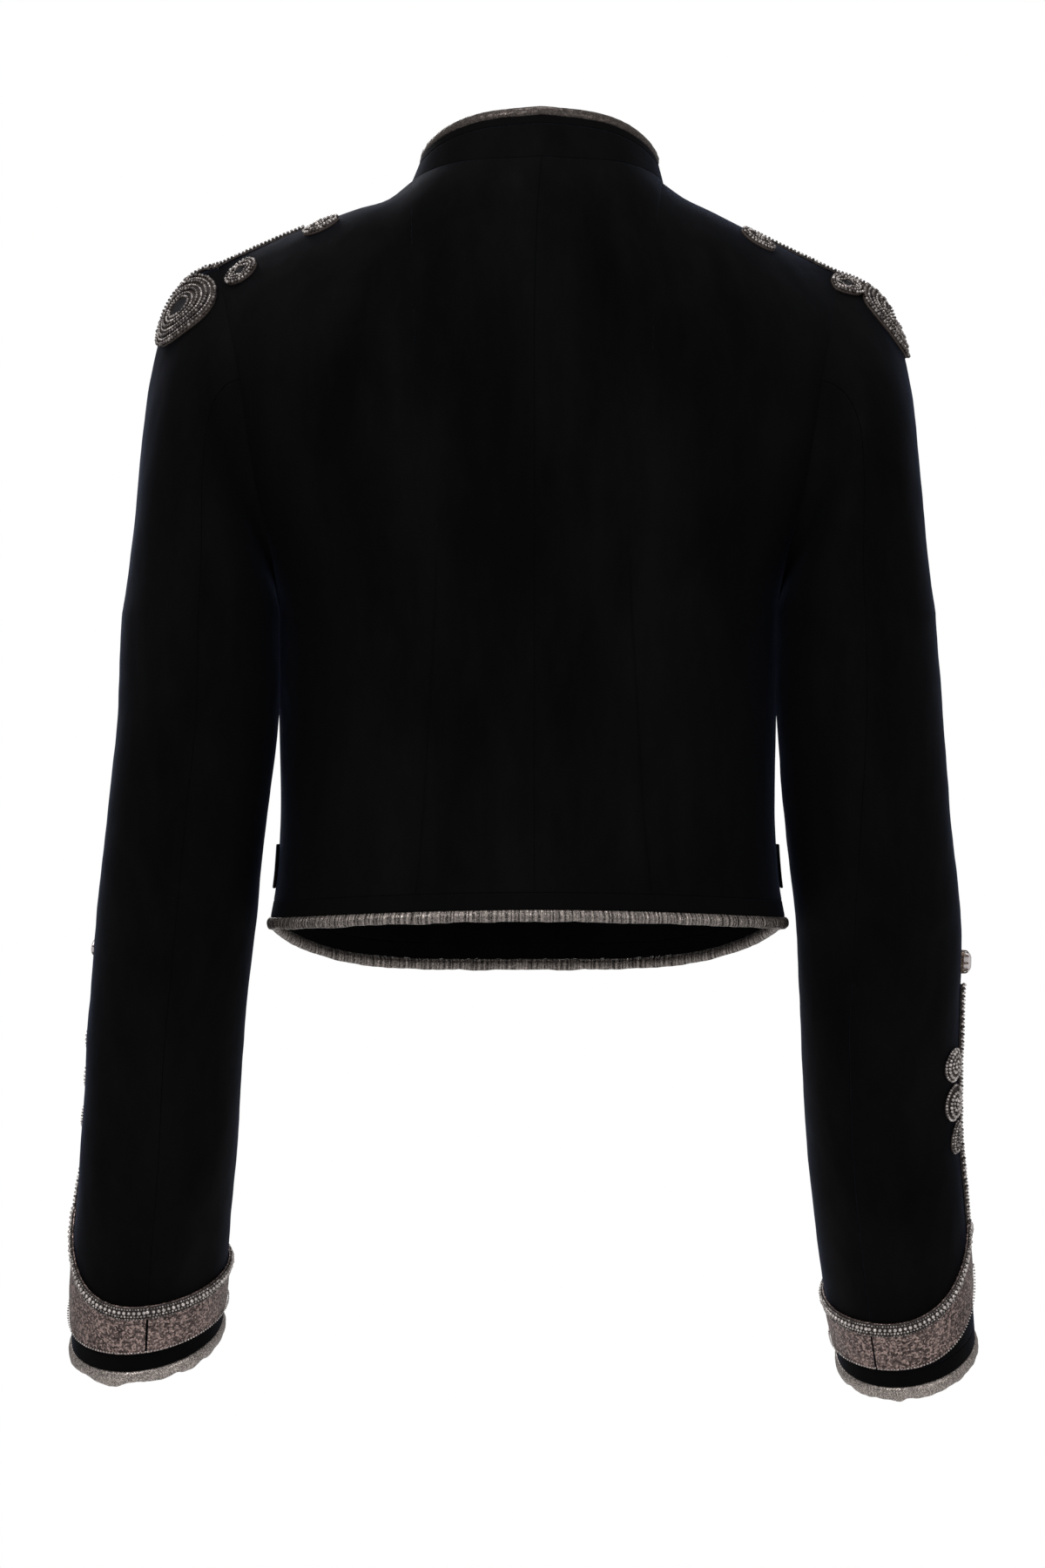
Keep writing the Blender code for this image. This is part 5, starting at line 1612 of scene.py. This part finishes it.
class JACKET_OT_forearms(bpy.types.Operator):
    """Lay the beaded cord, scrolls and leaf down the outside of each forearm"""

    bl_idname = "jacket.forearms"
    bl_label = "Forearm Beadwork"

    def execute(self, context):
        tree = skin_tree()
        seed_radius = context.scene.jacket_beads.seed_radius
        along = np.array((0.0, 0.0, 1.0))
        for number, (side, spec) in enumerate(SLEEVE_SIDE.items()):
            bottom = spec.end + CUFF_BINDING + CUFF_BAND + CUFF_LAYER_TALL + CUFF_POINT_UPPER
            top = STONE_HEIGHT - STONE_RADIUS - CORD_BELOW_STONE
            heights = np.linspace(top, bottom - CORD_OVER_CUFF, 28)
            path = [on_line(side, h) for h in heights]
            node = f"sleeve_cord_{side}"
            bead_cord(node, SLEEVE_CORD_SEED + number, add_cord(node, tree, path), (0.65, 1.0))
            for motif in SLEEVE_MOTIFS:
                centre, normal = near(tree, on_line(side, motif.height, motif.aside))
                label = f"sleeve_{motif.name}_{side}"
                outline = oval(motif.half_long, motif.half_short, 44)
                lay = MOTIF_LAY["sleeve"]
                add_pad(label, tree, centre, normal, along, outline, 0.3, lay, SLEEVE_MOTIF_TALL)
                tray = Tray(SLEEVE_MOTIF_SEED + number)
                for line, size, tone, high in self.scroll(motif):
                    ways = local_frame(normal, along)
                    tray.lay(tree, centre, ways, line, False, high, size * seed_radius, tone)
                tray.finish(f"beads_{label}")
        return {"FINISHED"}

    def scroll(self, motif):
        """Lines of beads with their size, tones and height: spirals and a rim, or a leaf with its vein."""
        size = np.array((motif.half_long, motif.half_short))
        high = SLEEVE_MOTIF_TALL
        if motif.name == "leaf":
            t = np.linspace(0.0, 2 * math.pi, 80)
            edge = size * np.stack([0.90 * np.cos(t), 0.85 * np.sin(t)], axis=-1)
            inner = size * np.stack([0.55 * np.cos(t), 0.48 * np.sin(t)], axis=-1)
            vein = size * np.stack([np.linspace(-0.45, 0.45, 20), np.zeros(20)], axis=-1)
            return (
                (edge, 1.0, (0.3, 1.0), high), (inner, 0.8, (0.0, 0.5), high),
                (vein, 1.0, (0.3, 1.0), high), (edge / 0.90, 1.0, (0.1, 0.9), RIM_HIGH),
            )
        t = np.linspace(0.0, 1.0, 160)
        turn = t * 2 * math.pi
        hand = 1.0 if motif.name == "scroll_upper" else -1.0
        angle = hand * (turn * SCROLL_TURNS + SCROLL_START)
        spiral = np.stack([np.cos(angle), np.sin(angle)], axis=-1)
        rim = size * np.stack([np.cos(turn), np.sin(turn)], axis=-1)
        return (
            (size * blend(0.93, 0.12, t)[:, None] * spiral, 1.35, (0.45, 1.0), high),
            (size * blend(0.76, 0.02, t)[:, None] * spiral, 0.75, (0.0, 0.15), high),
            (rim, 1.1, (0.2, 1.0), RIM_HIGH),
        )


class JACKET_OT_stones(bpy.types.Operator):
    """Set a faceted stone in claws at the top of each forearm cord"""

    bl_idname = "jacket.stones"
    bl_label = "Stones"

    def execute(self, context):
        tree = skin_tree()
        for side in SLEEVE_SIDE:
            centre, normal = near(tree, on_line(side, STONE_HEIGHT))
            first, second = local_frame(normal, np.array((0.0, 0.0, 1.0)))
            place = np.stack([first, second, normal], axis=-1)
            stone, spot = self.gem(), centre + normal * STONE_RISE
            self.settle(stone, f"stone_sleeve_{side}", place, spot, self.gem_finish(), "stone")
            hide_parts(f"sleeve_stone_{side}")
            claws, spot = self.claw_ring(), centre - normal * CLAW_SINK
            self.settle(claws, f"claws_sleeve_{side}", place, spot, self.claw_finish(), "beadwork")
        return {"FINISHED"}

    def gem(self):
        """A cut stone: a low cylinder with its crown drawn in and its girdle bevelled."""
        bpy.ops.object.select_all(action="DESELECT")
        bpy.ops.mesh.primitive_cylinder_add(vertices=12, radius=STONE_RADIUS * 0.86, depth=STONE_TALL * 0.62)
        made = bpy.context.object
        bpy.ops.object.mode_set(mode="EDIT")
        shape = bmesh.from_edit_mesh(made.data)
        for face in shape.faces:
            face.select_set(face.normal.z > 0.9)
        bmesh.update_edit_mesh(made.data)
        bpy.ops.mesh.inset(thickness=STONE_RADIUS * 0.16, depth=STONE_TALL * 0.20)
        bpy.ops.mesh.inset(thickness=STONE_RADIUS * 0.22, depth=STONE_TALL * 0.10)
        bpy.ops.mesh.poke(offset=STONE_TALL * 0.02)
        bpy.ops.mesh.select_all(action="SELECT")
        bpy.ops.transform.translate(value=(0.0, 0.0, STONE_TALL * 0.31))
        bpy.ops.object.mode_set(mode="OBJECT")
        return made

    def claw_ring(self):
        """A dished ring with claws bent over the stone."""
        bpy.ops.object.select_all(action="DESELECT")
        bpy.ops.mesh.primitive_cylinder_add(
            vertices=CLAWS * 4, radius=STONE_RADIUS, depth=STONE_TALL * 0.34, end_fill_type="NOTHING",
        )
        made = bpy.context.object
        bpy.ops.object.mode_set(mode="EDIT")
        shape = bmesh.from_edit_mesh(made.data)
        bmesh.ops.translate(shape, verts=shape.verts, vec=(0.0, 0.0, STONE_TALL * 0.17))
        for edge in shape.edges:
            middle = (edge.verts[0].co + edge.verts[1].co) / 2
            level = abs(edge.verts[0].co.z - edge.verts[1].co.z) < 1e-6
            step = math.degrees(math.atan2(middle.y, middle.x)) % (360.0 / CLAWS)
            edge.select_set(level and middle.z > STONE_TALL * 0.3 and step < 360.0 / CLAWS / 4)
        bmesh.update_edit_mesh(made.data)
        for rise, inward in ((0.22, 0.97), (0.16, 0.86), (0.05, 0.84)):
            bpy.ops.mesh.extrude_edges_move(TRANSFORM_OT_translate={"value": (0.0, 0.0, STONE_TALL * rise)})
            bpy.ops.transform.resize(value=(inward, inward, 1.0), center_override=(0.0, 0.0, 0.0))
        bpy.ops.object.mode_set(mode="OBJECT")
        thick = made.modifiers.new("Thickness", "SOLIDIFY")
        thick.thickness = CLAW_WALL
        thick.offset = 0.0
        bpy.ops.object.modifier_apply(modifier=thick.name)
        soft = made.modifiers.new("Soft Edges", "BEVEL")
        soft.width = CLAW_BEVEL
        soft.segments = 2
        bpy.ops.object.modifier_apply(modifier=soft.name)
        return made

    def settle(self, made, name, place, centre, material, slot):
        """Put a finished small piece on the sleeve, with its place in its mesh."""
        made.name = name
        made.data.name = name
        for vert in made.data.vertices:
            vert.co = Vector(place @ np.array(vert.co) + centre)
        made.data.update()
        made.data.materials.append(material)
        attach(made, "root")

    def gem_finish(self):
        found = bpy.data.materials.get("Pale Stone")
        if found:
            return found
        material, shader = cloud_material("Pale Stone", 320.0, ((0.62, 0.52, 0.53), (1.0, 0.95, 0.96)))
        shader.inputs["Metallic"].default_value = 0.10
        shader.inputs["Roughness"].default_value = 0.07
        shader.inputs["Coat Weight"].default_value = 1.0
        shader.inputs["Coat Roughness"].default_value = 0.03
        return material

    def claw_finish(self):
        dark, light = (0.07, 0.05, 0.04), (0.34, 0.26, 0.21)
        return metallic_material("Claw Metal", dark, light, 900.0, 200.0, 0.85, 0.3)


class JACKET_OT_stage(bpy.types.Operator):
    """Set the camera, the white surround, the soft lights and the pale floor"""

    bl_idname = "jacket.stage"
    bl_label = "Stage"

    def execute(self, context):
        scene, stage = context.scene, context.scene.jacket_stage
        camera = bpy.data.objects.new("camera", bpy.data.cameras.new("camera"))
        camera.data.sensor_fit = "VERTICAL"
        camera.data.sensor_height = SENSOR
        camera.data.lens = stage.lens
        away = Vector((math.sin(stage.azimuth), -math.cos(stage.azimuth), 0.0))
        self.put(camera, Vector(AIM) + away * stage.distance)
        scene.camera = camera
        scene.view_settings.view_transform = "Standard"

        world = bpy.data.worlds.new("studio")
        world.use_nodes = True
        sky = world.node_tree.nodes["Background"]
        sky.inputs["Color"].default_value = (1.0, 1.0, 1.0, 1.0)
        seen = add_node(world.node_tree, "ShaderNodeLightPath")
        dim = add_node(world.node_tree, "ShaderNodeMapRange", {"To Min": stage.surround})
        join(world.node_tree, (seen, "Is Camera Ray", dim, "Value"), (dim, "Result", sky, "Strength"))
        scene.world = world

        for lamp in LAMPS:
            light = bpy.data.lights.new(lamp.name, "AREA")
            light.size = lamp.size
            light.energy = lamp.power
            self.put(bpy.data.objects.new(lamp.name, light), Vector(lamp.place))

        bpy.ops.object.select_all(action="DESELECT")
        bpy.ops.mesh.primitive_circle_add(
            vertices=96, radius=FLOOR_RADIUS, fill_type="NGON", location=(0.0, 0.0, stage.floor),
        )
        floor = context.object
        floor.name = "floor"
        material, shader = cloud_material("Pale Floor", 6.0, ((0.80, 0.80, 0.80), (0.86, 0.86, 0.86)))
        shader.inputs["Roughness"].default_value = 0.8
        floor.data.materials.append(material)
        return {"FINISHED"}

    def put(self, item, place):
        """Place a camera or lamp so that it faces the jacket."""
        item.location = place
        item.rotation_euler = (Vector(AIM) - place).to_track_quat("-Z", "Y").to_euler()
        bpy.context.scene.collection.objects.link(item)


PIECES = (
    JACKET_OT_panels,
    JACKET_OT_sleeves,
    JACKET_OT_collar,
    JACKET_OT_hem,
    JACKET_OT_cuffs,
    JACKET_OT_tabs,
    JACKET_OT_shoulders,
    JACKET_OT_forearms,
    JACKET_OT_stones,
    JACKET_OT_stage,
)


class JACKET_PT_main(bpy.types.Panel):
    """Sizes, colours and pieces of the jacket"""

    bl_idname = "JACKET_PT_main"
    bl_label = "Velvet Jacket"
    bl_space_type = "VIEW_3D"
    bl_region_type = "UI"
    bl_category = "Jacket"

    def draw(self, context):
        scene = context.scene
        for group in (scene.jacket_velvet, scene.jacket_trim, scene.jacket_beads, scene.jacket_stage):
            box = self.layout.box()
            for name in group.__annotations__:
                box.prop(group, name)
        for piece in PIECES:
            self.layout.operator(piece.bl_idname)


GROUPS = (
    ("jacket_velvet", VelvetSettings),
    ("jacket_trim", TrimSettings),
    ("jacket_beads", BeadSettings),
    ("jacket_stage", StageSettings),
)


def register():
    for name, group in GROUPS:
        bpy.utils.register_class(group)
        setattr(bpy.types.Scene, name, PointerProperty(type=group))
    for piece in PIECES:
        bpy.utils.register_class(piece)
    bpy.utils.register_class(JACKET_PT_main)


def unregister():
    bpy.utils.unregister_class(JACKET_PT_main)
    for piece in reversed(PIECES):
        bpy.utils.unregister_class(piece)
    for name, group in reversed(GROUPS):
        delattr(bpy.types.Scene, name)
        bpy.utils.unregister_class(group)


def main():
    register()
    bpy.ops.jacket.panels()
    bpy.ops.jacket.sleeves()
    bpy.ops.jacket.collar()
    bpy.ops.jacket.hem()
    bpy.ops.jacket.cuffs()
    bpy.ops.jacket.tabs()
    bpy.ops.jacket.shoulders()
    bpy.ops.jacket.forearms()
    bpy.ops.jacket.stones()
    bpy.ops.jacket.stage()


if __name__ == "__main__":
    main()
